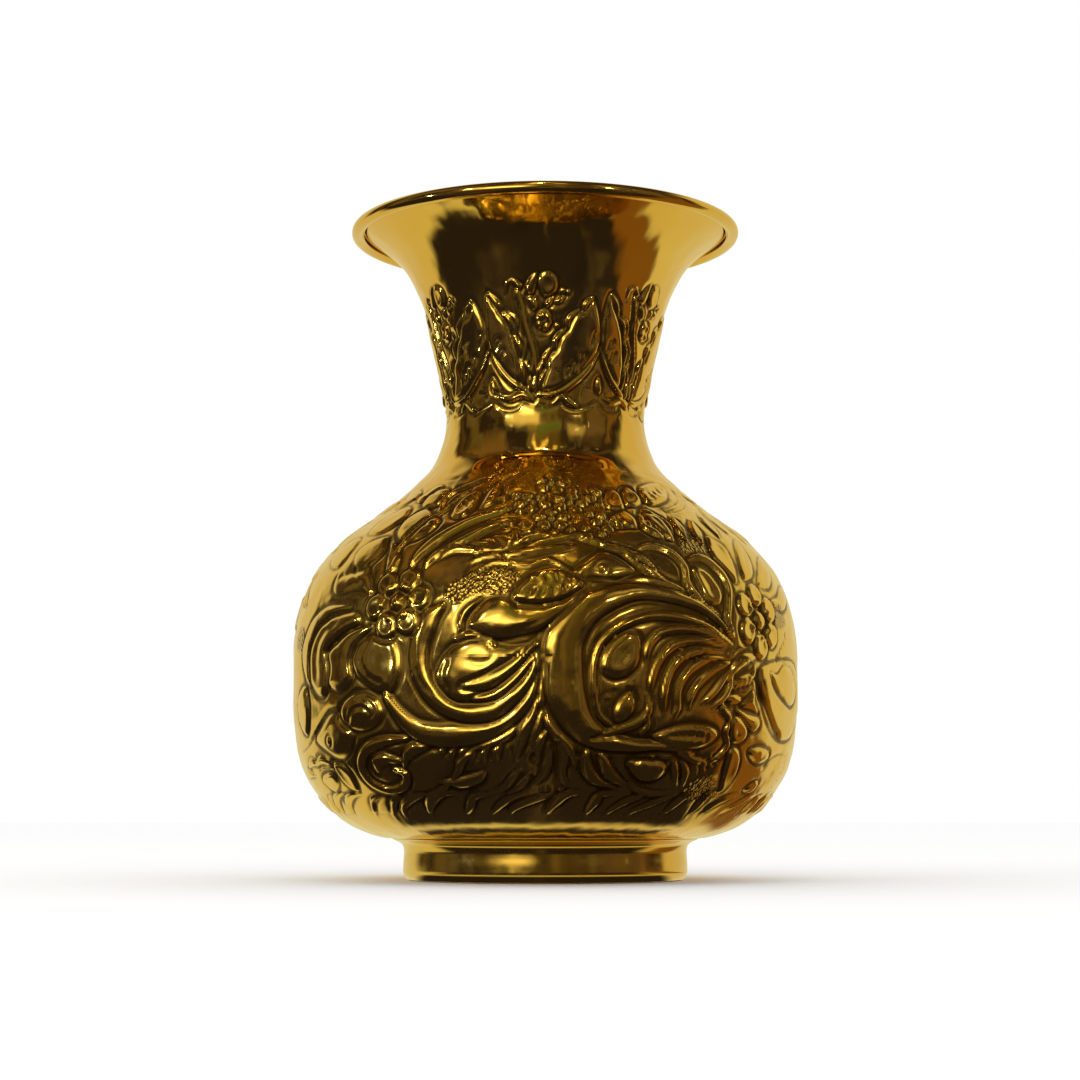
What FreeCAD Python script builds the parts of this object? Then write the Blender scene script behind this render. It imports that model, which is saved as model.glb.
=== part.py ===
"""Brass kalash: a flower pot with a squat round body, a trumpet neck and a ring foot.

The pot is built from spun sheet brass.  A bowl and a shoulder meet in a lap seam round
the widest line, the neck laps over a collar on the shoulder, and a separate ring foot is
brazed under the bowl.  The mouth's edge is curled outwards and down round a stiffening
wire.  Every piece is a turned shape about +Z.  The origin is the centre of the foot's
underside.  Millimetres.
"""

import FreeCAD
import Part
import math
import os

# ---------------------------------------------------------------- driving dimensions

TOTAL_HEIGHT = 250.0      # foot's underside to the top of the curled rim
BODY_RADIUS = 96.6        # outside, at the widest line
RIM_RADIUS = 74.8         # outside of the curled rim
THROAT_RADIUS = 38.8      # outside, at the neck's narrowest place
FOOT_RADIUS = 53.5        # outside of the ring foot
FOOT_HEIGHT = 15.6        # foot's underside to the bowl's flat underside

BELT_HEIGHT = 78.0        # height of the seam between bowl and shoulder
BELT_HALF_WIDTH = 7.0     # the wall is upright this far below and above the seam
NECK_SEAM_RADIUS = 49.4   # outside, where the neck's lower edge meets the shoulder
NECK_SEAM_HEIGHT = 149.3
NECK_SEAM_SLOPE = 45.0    # degrees above level, going in and up
THROAT_HEIGHT = 174.0     # height of the neck's narrowest place
FLARE_SLOPE = 37.0        # degrees above level, where the trumpet runs into the curl

BODY_WALL = 1.0           # sheet thickness of the bowl and the shoulder
NECK_WALL = 1.0
FOOT_WALL = 1.4

RIM_WIRE_RADIUS = 1.4
WIRE_CLEARANCE = 0.05     # between the wire and the sheet curled round it
CURL_TUCK = 12.0          # degrees that the curl goes on past the line of the flare

SEAM_LAP = 5.0            # how far a collar reaches up inside the piece above it
SEAM_GROOVE = 1.0         # open groove between the two edges, filled with braze
BRAZE_GAP = 0.15          # thickness of the braze between lapped sheets

FOOT_FLANGE_REACH = 4.2   # the foot's top flange, beyond the outside of the foot
FOOT_FLANGE_INNER = 6.0   # and inside the outside of the foot
FOOT_COVE_RADIUS = 2.5    # hollow curve between the foot's wall and its flange
FOOT_CORNER_RADIUS = 3.0  # rounded lower edge of the foot
FOOT_TREAD = 5.5          # width of the flat that the pot stands on

# How each long curve bends between its two ends.  The pulls say how far it keeps the
# direction that it leaves with and arrives with, as shares of the distance between the
# ends.  The shares place the poles in between, across and up.
BOWL_PULLS, BOWL_SHARES = (0.262, 0.266), [(0.990, 0.339), (0.906, 0.480)]
SHOULDER_PULLS, SHOULDER_SHARES = (0.275, 0.321), [(0.275, 0.724)]
NECK_ROOT_PULLS, NECK_ROOT_SHARES = (0.294, 0.297), []
TRUMPET_PULLS, TRUMPET_SHARES = (0.179, 0.255), [(0.283, 0.511), (0.241, 0.803)]

INSET_SPANS = 10          # spans in the curve of a wall's inner face

CURL_INNER_RADIUS = RIM_WIRE_RADIUS + WIRE_CLEARANCE
CURL_OUTER_RADIUS = CURL_INNER_RADIUS + NECK_WALL
CURL_CENTRE = (RIM_RADIUS - CURL_OUTER_RADIUS, TOTAL_HEIGHT - CURL_OUTER_RADIUS)

Z_AXIS = FreeCAD.Vector(0, 0, 1)
ORIGIN = FreeCAD.Vector(0, 0, 0)


# ---------------------------------------------------------------- section helpers
# A section point is (radius, height), drawn in the XZ plane.

def point(rz):
    return FreeCAD.Vector(rz[0], 0, rz[1])


def direction(degrees):
    """Unit direction in the section, measured up from straight outwards."""
    a = math.radians(degrees)
    return (math.cos(a), math.sin(a))


def along(start, way, distance):
    return (start[0] + way[0] * distance, start[1] + way[1] * distance)


def line(a, b):
    return Part.LineSegment(point(a), point(b)).toShape()


def arc(centre, radius, from_degrees, to_degrees):
    """Arc about centre, from one direction to the other, the way the degrees run."""
    middle = (from_degrees + to_degrees) / 2.0
    ends = [along(centre, direction(d), radius) for d in (from_degrees, middle, to_degrees)]
    return Part.Arc(*[point(p) for p in ends]).toShape()


def smooth_curve(start, start_way, end, end_way, pulls, shares):
    """A Bezier curve that leaves start along one direction and reaches end along another."""
    reach = math.dist(start, end)
    poles = [start, along(start, start_way, pulls[0] * reach)]
    poles += [(start[0] + (end[0] - start[0]) * across, start[1] + (end[1] - start[1]) * up)
              for across, up in shares]
    poles += [along(end, end_way, -pulls[1] * reach), end]
    curve = Part.BezierCurve()
    curve.setPoles([point(p) for p in poles])
    return curve


def inset_curve(curve, depth, count=INSET_SPANS):
    """The curve moved inwards by depth, square to itself.  Inwards is on its left."""
    moved = []
    for i in range(count + 1):
        u = curve.FirstParameter + (curve.LastParameter - curve.FirstParameter) * i / count
        place, way = curve.value(u), curve.tangent(u)[0]
        moved.append(point((place.x - way.z * depth, place.z + way.x * depth)))
    inset = Part.BSplineCurve()
    inset.interpolate(Points=moved, InitialTangent=curve.tangent(curve.FirstParameter)[0],
                      FinalTangent=curve.tangent(curve.LastParameter)[0])
    return inset


def turn(edges):
    """The solid that the closed section sweeps in one turn about the pot's axis."""
    face = Part.Face(Part.Wire(Part.__sortEdges__(edges)))
    solid = face.revolve(ORIGIN, Z_AXIS, 360)
    return solid if solid.Volume > 0 else solid.reversed()


def polygon(points):
    return [line(a, b) for a, b in zip(points, points[1:] + points[:1])]


def path(points):
    return [line(a, b) for a, b in zip(points, points[1:])]


# ---------------------------------------------------------------- the pot's outer curves
# All run upwards, so the inside of the pot is on their left.

BOWL_FLAT_RADIUS = FOOT_RADIUS + FOOT_FLANGE_REACH
BELT_LOW = (BODY_RADIUS, BELT_HEIGHT - BELT_HALF_WIDTH)
BELT_SEAM = (BODY_RADIUS, BELT_HEIGHT)
BELT_HIGH = (BODY_RADIUS, BELT_HEIGHT + BELT_HALF_WIDTH)
NECK_WAY = direction(180.0 - NECK_SEAM_SLOPE)
NECK_SEAM = (NECK_SEAM_RADIUS, NECK_SEAM_HEIGHT)
NECK_STRAIGHT_END = along(NECK_SEAM, NECK_WAY, SEAM_LAP)
THROAT = (THROAT_RADIUS, THROAT_HEIGHT)
FLARE_WAY = direction(FLARE_SLOPE)
FLARE_END = along(CURL_CENTRE, direction(FLARE_SLOPE + 90.0), CURL_INNER_RADIUS)


def bowl_curve():
    start = (BOWL_FLAT_RADIUS, FOOT_HEIGHT)
    return smooth_curve(start, (1, 0), BELT_LOW, (0, 1), BOWL_PULLS, BOWL_SHARES)


def shoulder_curve():
    return smooth_curve(BELT_HIGH, (0, 1), NECK_SEAM, NECK_WAY, SHOULDER_PULLS, SHOULDER_SHARES)


def neck_root_curve():
    return smooth_curve(NECK_STRAIGHT_END, NECK_WAY, THROAT, (0, 1),
                        NECK_ROOT_PULLS, NECK_ROOT_SHARES)


def trumpet_curve():
    return smooth_curve(THROAT, (0, 1), FLARE_END, FLARE_WAY, TRUMPET_PULLS, TRUMPET_SHARES)


# ---------------------------------------------------------------- lap seams

def lap_seam(edge, way, cover_wall, collar_wall):
    """A lap seam that is flush outside.

    The lower piece's sheet ends outside at edge, steps in by the cover's wall and the
    braze, and carries on along way as a collar.  The upper piece starts past a groove.
    Returns the collar's outer and inner section points, the cover's two lower corners,
    and the braze's section.
    """
    inwards = (-way[1], way[0])

    def place(up, deep):
        return along(along(edge, way, up), inwards, deep)

    step = cover_wall + BRAZE_GAP
    lean = SEAM_GROOVE * collar_wall / step
    outer = [edge, place(SEAM_GROOVE, step), place(SEAM_LAP, step)]
    inner = [place(SEAM_LAP, step + collar_wall),
             place(SEAM_GROOVE - lean, step + collar_wall),
             place(-lean, collar_wall)]
    cover = [place(SEAM_GROOVE, 0), place(SEAM_GROOVE, cover_wall)]
    braze = [edge] + cover + [place(SEAM_LAP, cover_wall), outer[2], outer[1]]
    return outer, inner, cover, braze


BELT_OUTER, BELT_INNER, BELT_COVER, BELT_BRAZE = lap_seam(BELT_SEAM, (0, 1), BODY_WALL, BODY_WALL)
NECK_OUTER, NECK_INNER, NECK_COVER, NECK_BRAZE = lap_seam(NECK_SEAM, NECK_WAY, NECK_WALL, BODY_WALL)


# ---------------------------------------------------------------- the pieces

def make_belly():
    """The bowl: flat underside, round side, and a collar stepped in at the belt."""
    outer = bowl_curve()
    inner = inset_curve(outer, BODY_WALL)
    floor_top = FOOT_HEIGHT + BODY_WALL
    edges = path([(0, floor_top), (0, FOOT_HEIGHT), (BOWL_FLAT_RADIUS, FOOT_HEIGHT)])
    edges += [outer.toShape()]
    edges += path([BELT_LOW] + BELT_OUTER + BELT_INNER + [(BODY_RADIUS - BODY_WALL, BELT_LOW[1])])
    edges += [inner.toShape()]
    edges += path([(BOWL_FLAT_RADIUS, floor_top), (0, floor_top)])
    return turn(edges)


def make_shoulder():
    """The upper body, from over the bowl's collar to its own collar for the neck."""
    outer = shoulder_curve()
    inner = inset_curve(outer, BODY_WALL)
    inner_end = inner.value(inner.LastParameter)
    edges = path([(BODY_RADIUS - BODY_WALL, BELT_HIGH[1]), BELT_COVER[1], BELT_COVER[0], BELT_HIGH])
    edges += [outer.toShape()]
    edges += path(NECK_OUTER + NECK_INNER[:2] + [(inner_end.x, inner_end.z)])
    edges += [inner.toShape()]
    return turn(edges)


def make_neck():
    """The trumpet neck with its rim curled outwards and down round the wire."""
    root, trumpet = neck_root_curve(), trumpet_curve()
    root_inner, trumpet_inner = inset_curve(root, NECK_WALL), inset_curve(trumpet, NECK_WALL)
    straight_inner_end = root_inner.value(root_inner.FirstParameter)
    curl_from = FLARE_SLOPE + 90.0
    curl_to = FLARE_SLOPE - 180.0 - CURL_TUCK
    tip = [along(CURL_CENTRE, direction(curl_to), r) for r in (CURL_INNER_RADIUS, CURL_OUTER_RADIUS)]
    edges = path([(straight_inner_end.x, straight_inner_end.z), NECK_COVER[1], NECK_COVER[0],
                  NECK_STRAIGHT_END])
    edges += [root.toShape(), trumpet.toShape()]
    edges += [arc(CURL_CENTRE, CURL_INNER_RADIUS, curl_from, curl_to)]
    edges += path(tip)
    edges += [arc(CURL_CENTRE, CURL_OUTER_RADIUS, curl_to, curl_from)]
    edges += [trumpet_inner.toShape(), root_inner.toShape()]
    return turn(edges)


def make_rim_wire():
    centre = FreeCAD.Vector(0, 0, CURL_CENTRE[1])
    return Part.makeTorus(CURL_CENTRE[0], RIM_WIRE_RADIUS, centre, Z_AXIS)


FLANGE_TOP = FOOT_HEIGHT - BRAZE_GAP
FLANGE_UNDER = FLANGE_TOP - FOOT_WALL
FLANGE_OUTER_RADIUS = FOOT_RADIUS + FOOT_FLANGE_REACH
FLANGE_INNER_RADIUS = FOOT_RADIUS - FOOT_FLANGE_INNER


def make_foot_ring():
    """Ring foot: a flat tread turned in, an upright wall, a cove and a top flange."""
    inner_wall = FOOT_RADIUS - FOOT_WALL
    corner = (FOOT_RADIUS - FOOT_CORNER_RADIUS, FOOT_CORNER_RADIUS)
    cove = (FOOT_RADIUS + FOOT_COVE_RADIUS, FLANGE_UNDER - FOOT_COVE_RADIUS)
    tread_inner = corner[0] - FOOT_TREAD
    edges = path([(tread_inner, FOOT_WALL), (tread_inner, 0), (corner[0], 0)])
    edges += [arc(corner, FOOT_CORNER_RADIUS, -90, 0)]
    edges += path([(FOOT_RADIUS, corner[1]), (FOOT_RADIUS, cove[1])])
    edges += [arc(cove, FOOT_COVE_RADIUS, 180, 90)]
    edges += path([(cove[0], FLANGE_UNDER), (FLANGE_OUTER_RADIUS, FLANGE_UNDER),
                   (FLANGE_OUTER_RADIUS, FLANGE_TOP), (FLANGE_INNER_RADIUS, FLANGE_TOP),
                   (FLANGE_INNER_RADIUS, FLANGE_UNDER), (inner_wall, FLANGE_UNDER),
                   (inner_wall, corner[1])])
    edges += [arc(corner, FOOT_CORNER_RADIUS - FOOT_WALL, 0, -90)]
    edges += path([(corner[0], FOOT_WALL), (tread_inner, FOOT_WALL)])
    return turn(edges)


def make_foot_braze():
    """Braze between the foot's flange and the bowl."""
    return turn(polygon([(FLANGE_INNER_RADIUS, FLANGE_TOP), (FLANGE_OUTER_RADIUS, FLANGE_TOP),
                         (FLANGE_OUTER_RADIUS, FOOT_HEIGHT), (FLANGE_INNER_RADIUS, FOOT_HEIGHT)]))


PIECES = {
    "belly": make_belly,
    "shoulder": make_shoulder,
    "neck": make_neck,
    "rim_wire": make_rim_wire,
    "foot_ring": make_foot_ring,
    "belt_braze": lambda: turn(polygon(BELT_BRAZE)),
    "neck_braze": lambda: turn(polygon(NECK_BRAZE)),
    "foot_braze": make_foot_braze,
}


def main():
    os.makedirs("parts", exist_ok=True)
    for name, make in PIECES.items():
        solid = make()
        if not solid.isValid() or not solid.isClosed():
            raise RuntimeError(name + " is not a sound closed solid")
        solid.exportStep(os.path.join("parts", name + ".step"))
        print(name, round(solid.Volume, 1), "mm3")


main()
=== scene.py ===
"""Looks of a chased brass flower pot: embossed walls, brass finishes, floor and light.

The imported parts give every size.  Each wall of the pot is a turned surface whose outline
is read from its part, and the chased ornament is a height field laid on it.  Ornament is
placed by two numbers: degrees round the pot from the front, and millimetres up.
"""

import math

import bpy
import numpy as np
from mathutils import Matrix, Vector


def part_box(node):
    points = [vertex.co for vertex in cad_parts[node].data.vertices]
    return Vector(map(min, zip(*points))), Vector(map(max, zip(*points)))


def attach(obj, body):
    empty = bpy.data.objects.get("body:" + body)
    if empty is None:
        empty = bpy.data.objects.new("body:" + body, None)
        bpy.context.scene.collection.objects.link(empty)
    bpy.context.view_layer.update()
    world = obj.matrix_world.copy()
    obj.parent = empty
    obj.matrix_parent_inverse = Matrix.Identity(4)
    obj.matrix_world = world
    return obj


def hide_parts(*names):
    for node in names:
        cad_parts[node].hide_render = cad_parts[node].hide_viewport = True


bl_info = {
    "name": "Chased Brass Pot",
    "version": (1, 0, 0),
    "blender": (4, 5, 0),
    "location": "View3D > Sidebar > Brass Pot",
    "description": "Builds the embossed walls, brass finishes and stage of a chased pot",
    "category": "Object",
}

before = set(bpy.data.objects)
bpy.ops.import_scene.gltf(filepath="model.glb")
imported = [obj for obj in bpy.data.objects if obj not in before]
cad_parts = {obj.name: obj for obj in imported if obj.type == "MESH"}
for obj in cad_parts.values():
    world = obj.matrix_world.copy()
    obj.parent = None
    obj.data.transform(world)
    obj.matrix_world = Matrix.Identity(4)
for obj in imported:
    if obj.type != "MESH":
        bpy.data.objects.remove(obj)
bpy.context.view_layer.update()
MM = 0.001

BODY_REPEATS = 2           # times that the body's ornament is drawn round the pot
NECK_REPEATS = 6
BODY_COLUMNS = 720         # mesh columns round the pot
NECK_COLUMNS = 528
PLAIN_COLUMNS = 240
WALL = 1.0                 # sheet thickness of bowl, shoulder and neck, millimetres
BRAZE_GAP = 0.15           # between lapped sheets
SEAM_LAP = 5.0             # how far a collar reaches up inside the sheet above it
SEAM_GROOVE = 1.0          # width of the seam's groove
EDGE_SOFTNESS = 0.7        # mm over which a form's border runs into its surroundings
GROOVE_WIDTH = 0.85        # mm from a chased groove's middle to where it is shallow
GROOVE_REACH = 2.5         # mm past a form's border that its groove can be felt
FORM_HEIGHT = 0.68         # how boldly the forms stand up
GROOVE_DEPTH = 0.9         # how deeply they are cut round
PRESS_SOFTNESS = 0.12      # mm over which the highest forms are flattened
SLIM = 0.3                 # mm: a strand slimmer than this each side rises as if it were so wide
BODY_CHASED_FROM = 19.5    # height where the body's ornament starts, millimetres
NECK_CHASED = (171.5, 224.0)   # heights between which the neck's sheet is finely divided
WAVES = 40                 # waves in each sum of the walls' waviness
WAVES_SPREAD = 4.5         # about how far forty waves of height 1 rise together
SEAM_WAVE_HEIGHT = 0.0014  # of a wave across the neck's seam, by its length
SEAM_WAVE_FADE = 6.0       # mm from the seam to where those waves are faint
# the last two seeds place the painted reflections on the dome and on the floor
BODY_SEED, NECK_SEED, SEAM_SEED, STUDIO_SEED, DARK_REFLECTION_SEED = 7, 11, 23, 5, 9


# ---------------------------------------------------------------- curves

def spline(points, count, closed=False):
    """Smooth curve through the points.

    Between two points it is the cubic whose slope at each point is half of the step from
    the point before to the point after.
    """
    p = np.asarray(points, float)
    if closed:
        p = np.concatenate([p[-1:], p, p[:2]])
    else:
        p = np.concatenate([2 * p[:1] - p[1:2], p, 2 * p[-1:] - p[-2:-1]])
    spans = len(p) - 3
    t = np.linspace(0, spans, count)
    i = np.minimum(t.astype(int), spans - 1)
    f = (t - i).reshape([-1] + [1] * (p.ndim - 1))
    a, b, c, d = p[i], p[i + 1], p[i + 2], p[i + 3]
    return 0.5 * (2 * b + (c - a) * f + (2 * a - 5 * b + 4 * c - d) * f ** 2
                  + (3 * b - a - 3 * c + d) * f ** 3)


def ease(x, start, end):
    """0 before start and 1 after end, and 3t^2 - 2t^3 between them."""
    t = np.clip((x - start) / (end - start), 0, 1)
    return t * t * (3 - 2 * t)


class Outline:
    """Outline of a turned wall: radius and height in millimetres, by distance along it.

    It runs through the given points as cubic pieces with the slopes of their neighbours.
    """

    def __init__(self, points):
        p = np.asarray(points, float)
        s = np.concatenate([[0], np.cumsum(np.hypot(*np.diff(p, axis=0).T))])
        slope = np.stack([np.gradient(p[:, 0], s), np.gradient(p[:, 1], s)], 1)
        fine = np.linspace(0, s[-1], 4000)
        i = np.clip(np.searchsorted(s, fine, side="right") - 1, 0, len(s) - 2)
        h = (s[i + 1] - s[i])[:, None]
        t = ((fine - s[i])[:, None]) / h
        curve = ((2 * t ** 3 - 3 * t ** 2 + 1) * p[i] + (t ** 3 - 2 * t ** 2 + t) * h * slope[i]
                 + (3 * t ** 2 - 2 * t ** 3) * p[i + 1] + (t ** 3 - t ** 2) * h * slope[i + 1])
        way = np.gradient(curve, axis=0)
        way /= np.hypot(*way.T)[:, None]
        self.s, self.r, self.z = fine, curve[:, 0], curve[:, 1]
        self.out_r, self.out_z = way[:, 1], -way[:, 0]
        steps = np.diff(fine) * 2 / (self.r[1:] + self.r[:-1])
        self.climb = np.concatenate([[0], np.cumsum(steps)])

    def at(self, s):
        """Radius, height and outward direction at distances s."""
        return tuple(np.interp(s, self.s, a) for a in (self.r, self.z, self.out_r, self.out_z))

    def distance_at(self, height):
        """Distance along the outline where it is at a height."""
        return float(np.interp(height, self.z, self.s))

    def chart(self, points):
        """Degrees and millimetres up, as radians round and the height on an even-scaled map."""
        p = np.asarray(points, float)
        return np.stack([np.radians(p[:, 0]), np.interp(p[:, 1], self.z, self.climb)], 1)


def read_outline(node, low, high, widest=1000.0):
    """Section points of a part's outward-facing wall between two heights, bottom up.

    A point is left out where another is both further out and higher up on a wall that
    narrows, which drops the collar that is lapped under the next wall.
    """
    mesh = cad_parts[node].data
    points = np.zeros(len(mesh.vertices) * 3)
    mesh.vertices.foreach_get("co", points)
    points = points.reshape(-1, 3) / MM
    corners = np.zeros(len(mesh.loops), int)
    mesh.loops.foreach_get("vertex_index", corners)
    normals = np.zeros(len(mesh.polygons) * 3)
    mesh.polygons.foreach_get("normal", normals)
    normals = normals.reshape(-1, 3)
    faces = corners.reshape(-1, 3)
    centres = points[faces].mean(1)
    outward = (normals[:, :2] * centres[:, :2]).sum(1) > 0.01 * np.hypot(*centres[:, :2].T)
    picked = points[np.unique(faces[outward])]
    section = np.stack([np.hypot(picked[:, 0], picked[:, 1]), picked[:, 2]], 1)
    section = section[(section[:, 1] > low) & (section[:, 1] < high) & (section[:, 0] < widest)]
    section = np.unique(np.round(section[np.argsort(section[:, 1])], 2), axis=0)
    section = section[np.lexsort((section[:, 0], section[:, 1]))]
    if section[0, 0] > section[-1, 0]:
        hidden = ((section[None, :, 0] > section[:, None, 0] + 0.2)
                  & (section[None, :, 1] > section[:, None, 1] + 0.05)).any(1)
        section = section[~hidden]
    run = np.concatenate([[0], np.cumsum(np.hypot(*np.diff(section, axis=0).T))])
    return section[np.unique((run / 0.8).astype(int), return_index=True)[1]]


# ---------------------------------------------------------------- the chaser's tools

class Sheet:
    """Height field on one wall, in millimetres above its ground, over columns and rows.

    Distances are taken on a map of the wall that is true to shape everywhere: across is
    the turn round the axis, up is the distance along the outline divided by the radius,
    so a step on the map times the radius is a step on the wall.
    """

    def __init__(self, outline, s, columns, repeats):
        self.outline, self.s, self.repeats = outline, s, repeats
        self.span = 2 * math.pi / repeats
        self.turn = np.arange(columns // repeats) * self.span / (columns // repeats)
        self.radius = outline.at(s)[0]
        self.climb = np.interp(s, outline.s, outline.climb)
        self.height = np.zeros((len(s), len(self.turn)))
        self.matted = np.zeros_like(self.height)

    def near(self, points, margin):
        """Rows and columns within margin mm of the points, and their map places."""
        middle = (points.min(0) + points.max(0)) / 2
        reach = (points.max(0) - points.min(0)) / 2
        around = (self.turn - middle[0] + self.span / 2) % self.span - self.span / 2
        up = self.climb - middle[1]
        rows = np.nonzero(np.abs(up) * self.radius <= reach[1] * self.radius + margin)[0]
        if len(rows) == 0:
            return None
        slim = self.radius[rows].min()
        columns = np.nonzero(np.abs(around) * slim <= reach[0] * slim + margin)[0]
        if len(columns) == 0:
            return None
        return (np.ix_(rows, columns), around[columns][None, :], up[rows][:, None],
                self.radius[rows][:, None], middle)

    def from_path(self, path, margin):
        """Millimetres to a path and the share of the way along it, for places near the path."""
        found = self.near(path, margin)
        if found is None:
            return None
        where, x, y, scale, middle = found
        a = (path - middle)[:-1]
        d = np.diff(path, axis=0)
        px, py = np.broadcast_arrays(x[..., None] - a[:, 0], y[..., None] - a[:, 1])
        t = np.clip((px * d[:, 0] + py * d[:, 1]) / ((d ** 2).sum(1) + 1e-18), 0, 1)
        off = np.hypot(px - t * d[:, 0], py - t * d[:, 1])
        k = off.argmin(-1)
        pick = (*np.indices(k.shape), k)
        return where, off[pick] * scale, (k + t[pick]) / len(d)

    def blend(self, where, inside, top, sink):
        """Puts a form whose height is top where inside (mm) is positive, in a chased groove."""
        cover = ease(inside, -EDGE_SOFTNESS / 2, EDGE_SOFTNESS / 2)
        old = self.height[where]
        groove = GROOVE_DEPTH * sink * np.exp(-(inside / GROOVE_WIDTH) ** 2)
        self.height[where] = old * (1 - cover) + FORM_HEIGHT * top * cover - groove
        self.matted[where] *= 1 - cover

    def band(self, points, wide, high=1.1, sink=0.45, on=0.0):
        """A raised strand along a curve; wide lists its widths in mm from start to end.

        Its section is a parabola.  Where the strand is slim it is lower too.  On is how
        high the form under it lifts it.
        """
        path = spline(self.outline.chart(points), 10 * len(points))
        found = self.from_path(path, max(wide) / 2 + GROOVE_REACH)
        if found is None:
            return
        where, off, along = found
        half = np.interp(along, np.linspace(0, 1, 40), spline(wide, 40)) / 2
        inside = half - off
        rise = np.clip(inside / np.maximum(half, SLIM), 0, 1)
        fade = np.clip(half / 1.2, 0.25, 1)
        self.blend(where, inside, on + high * rise * (2 - rise) * fade, sink * fade)

    def patch(self, points, high=1.3, edge=3.0, sink=0.5, on=0.0, dish=0.0, mat=False):
        """A raised field inside a closed smooth border: flat on top, or hollowed by dish.

        Edge is the mm from the border to its full height.  With mat it raises nothing and
        is matted instead.
        """
        path = spline(self.outline.chart(points), 8 * len(points) + 1, closed=True)
        found = self.from_path(path, GROOVE_REACH)
        if found is None:
            return
        where, off, _ = found
        _, x, y, _, middle = self.near(path, GROOVE_REACH)
        p = path - middle
        x0, y0, x1, y1 = p[:-1, 0], p[:-1, 1], p[1:, 0], p[1:, 1]
        y, x = y[..., None], x[..., None]
        crosses = (y0 > y) != (y1 > y)
        cut = x0 + (y - y0) * (x1 - x0) / np.where(y1 == y0, 1e-12, y1 - y0)
        inner = (crosses & (x < cut)).sum(-1) % 2 == 1
        inside = np.where(inner, off, -off)
        if mat:
            self.matted[where] = np.maximum(self.matted[where], np.clip(inside + 0.5, 0, 1))
            return
        rise = np.clip(inside / edge, 0, 1)
        hollow = dish * np.clip((inside - 0.4 * edge) / edge, 0, 1)
        self.blend(where, inside, on + high * rise * (2 - rise) - hollow, sink)

    def line(self, points, wide=1.3, deep=0.5):
        """A chased groove along a curve, shallower towards its ends."""
        path = spline(self.outline.chart(points), 8 * len(points))
        found = self.from_path(path, wide * 2)
        if found is None:
            return
        where, off, along = found
        fade = np.clip(6 * np.minimum(along, 1 - along) + 0.25, 0, 1)
        self.height[where] -= GROOVE_DEPTH * deep * fade * np.exp(-(off / (wide / 2)) ** 2)

    def bead(self, place, radius=1.3, high=0.8, sink=0.35):
        """A round bead added to what is under it, in a ring groove: a parabola in section."""
        point = self.outline.chart([place, place])
        found = self.from_path(point, radius + 2.0)
        if found is None:
            return
        where, off, _ = found
        dome = FORM_HEIGHT * high * np.clip(1 - (off / radius) ** 2, 0, 1)
        self.height[where] += dome - GROOVE_DEPTH * sink * np.exp(-((off - radius) / 0.8) ** 2)

    def hatch(self, points, count, long, lean=90.0, wide=1.0, deep=0.35):
        """Short grooves across a curve, evenly spaced, long mm each, leaning from it."""
        path = spline(self.outline.chart(points), 60)
        way = np.gradient(path, axis=0)
        way /= np.hypot(*way.T)[:, None]
        angle = math.radians(lean)
        turned = np.array([[math.cos(angle), math.sin(angle)],
                           [-math.sin(angle), math.cos(angle)]])
        for i in np.linspace(3, 56, count).astype(int):
            radius = np.interp(path[i, 1], self.climb, self.radius)
            reach = way[i] @ turned * long / 2 / radius
            found = self.from_path(np.array([path[i] - reach, path[i] + reach]), wide * 2)
            if found is None:
                continue
            where, off, along = found
            fade = np.clip(4 * np.minimum(along, 1 - along) + 0.4, 0, 1)
            self.height[where] -= GROOVE_DEPTH * deep * fade * np.exp(-(off / (wide / 2)) ** 2)

    def flower(self, place, petals, reach, size, lean=0.0, boss=3.4):
        """Round petals, each with a bead, set about a domed boss in a ring."""
        radius = float(np.interp(place[1], self.outline.z, self.outline.r))
        climb = np.interp(place[1], self.outline.z, self.outline.climb)

        def set_out(x, y):
            """The place x mm across and y mm up from the flower's middle."""
            return (place[0] + math.degrees(x / radius),
                    float(np.interp(climb + y / radius, self.outline.climb, self.outline.z)))

        for angle in lean + np.arange(petals) * 360 / petals:
            a = math.radians(angle)
            x, y = reach * math.cos(a), reach * math.sin(a)
            turns = [math.radians(turn) for turn in range(0, 360, 45)]
            self.patch([set_out(x + size * math.cos(t), y + size * math.sin(t)) for t in turns],
                       high=1.5, edge=size * 0.5, sink=0.6, dish=0.9)
            far = reach * 0.7
            self.bead(set_out(far * math.cos(a), far * math.sin(a)), radius=1.5, high=1.2,
                      sink=0.3)
        self.bead(place, radius=boss + 1.0, high=1.0, sink=0.6)
        self.bead(place, radius=boss - 0.4, high=0.5, sink=0.5)

    def settle(self, top, weight, sunk, fade, rng, wobble, columns):
        """Ends the chasing: the wall's height off its outline, in mm, for every row and column.

        Forms are pressed softly under top, the highest.  Weight says how bold the ornament
        is, sunk by what share of top the ground lies under the outline, both for every
        place of one repeat; fade says in which rows the wall is uneven.  Hollow is how far
        a place lies below its surroundings, about 3 mm each way.
        """
        h = top - PRESS_SOFTNESS * np.logaddexp(0, (top - self.height) / PRESS_SOFTNESS)
        self.hollow = np.tile((soften(h, 4) - h) * weight, self.repeats)
        self.matted = np.tile(self.matted * weight, self.repeats)
        uneven = unevenness(self, columns, rng, wobble)
        uneven = (uneven - uneven.max()) * fade[:, None]
        self.height = np.tile(h * weight - top * sunk, self.repeats) + uneven

    def rows_at(self, field, s):
        """A field's rows at distances s, straight between the rows beside them."""
        at = np.interp(s, self.s, np.arange(len(self.s)))
        low = np.minimum(at.astype(int), len(self.s) - 2)
        share = (at - low)[:, None]
        return field[low] * (1 - share) + field[low + 1] * share


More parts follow.
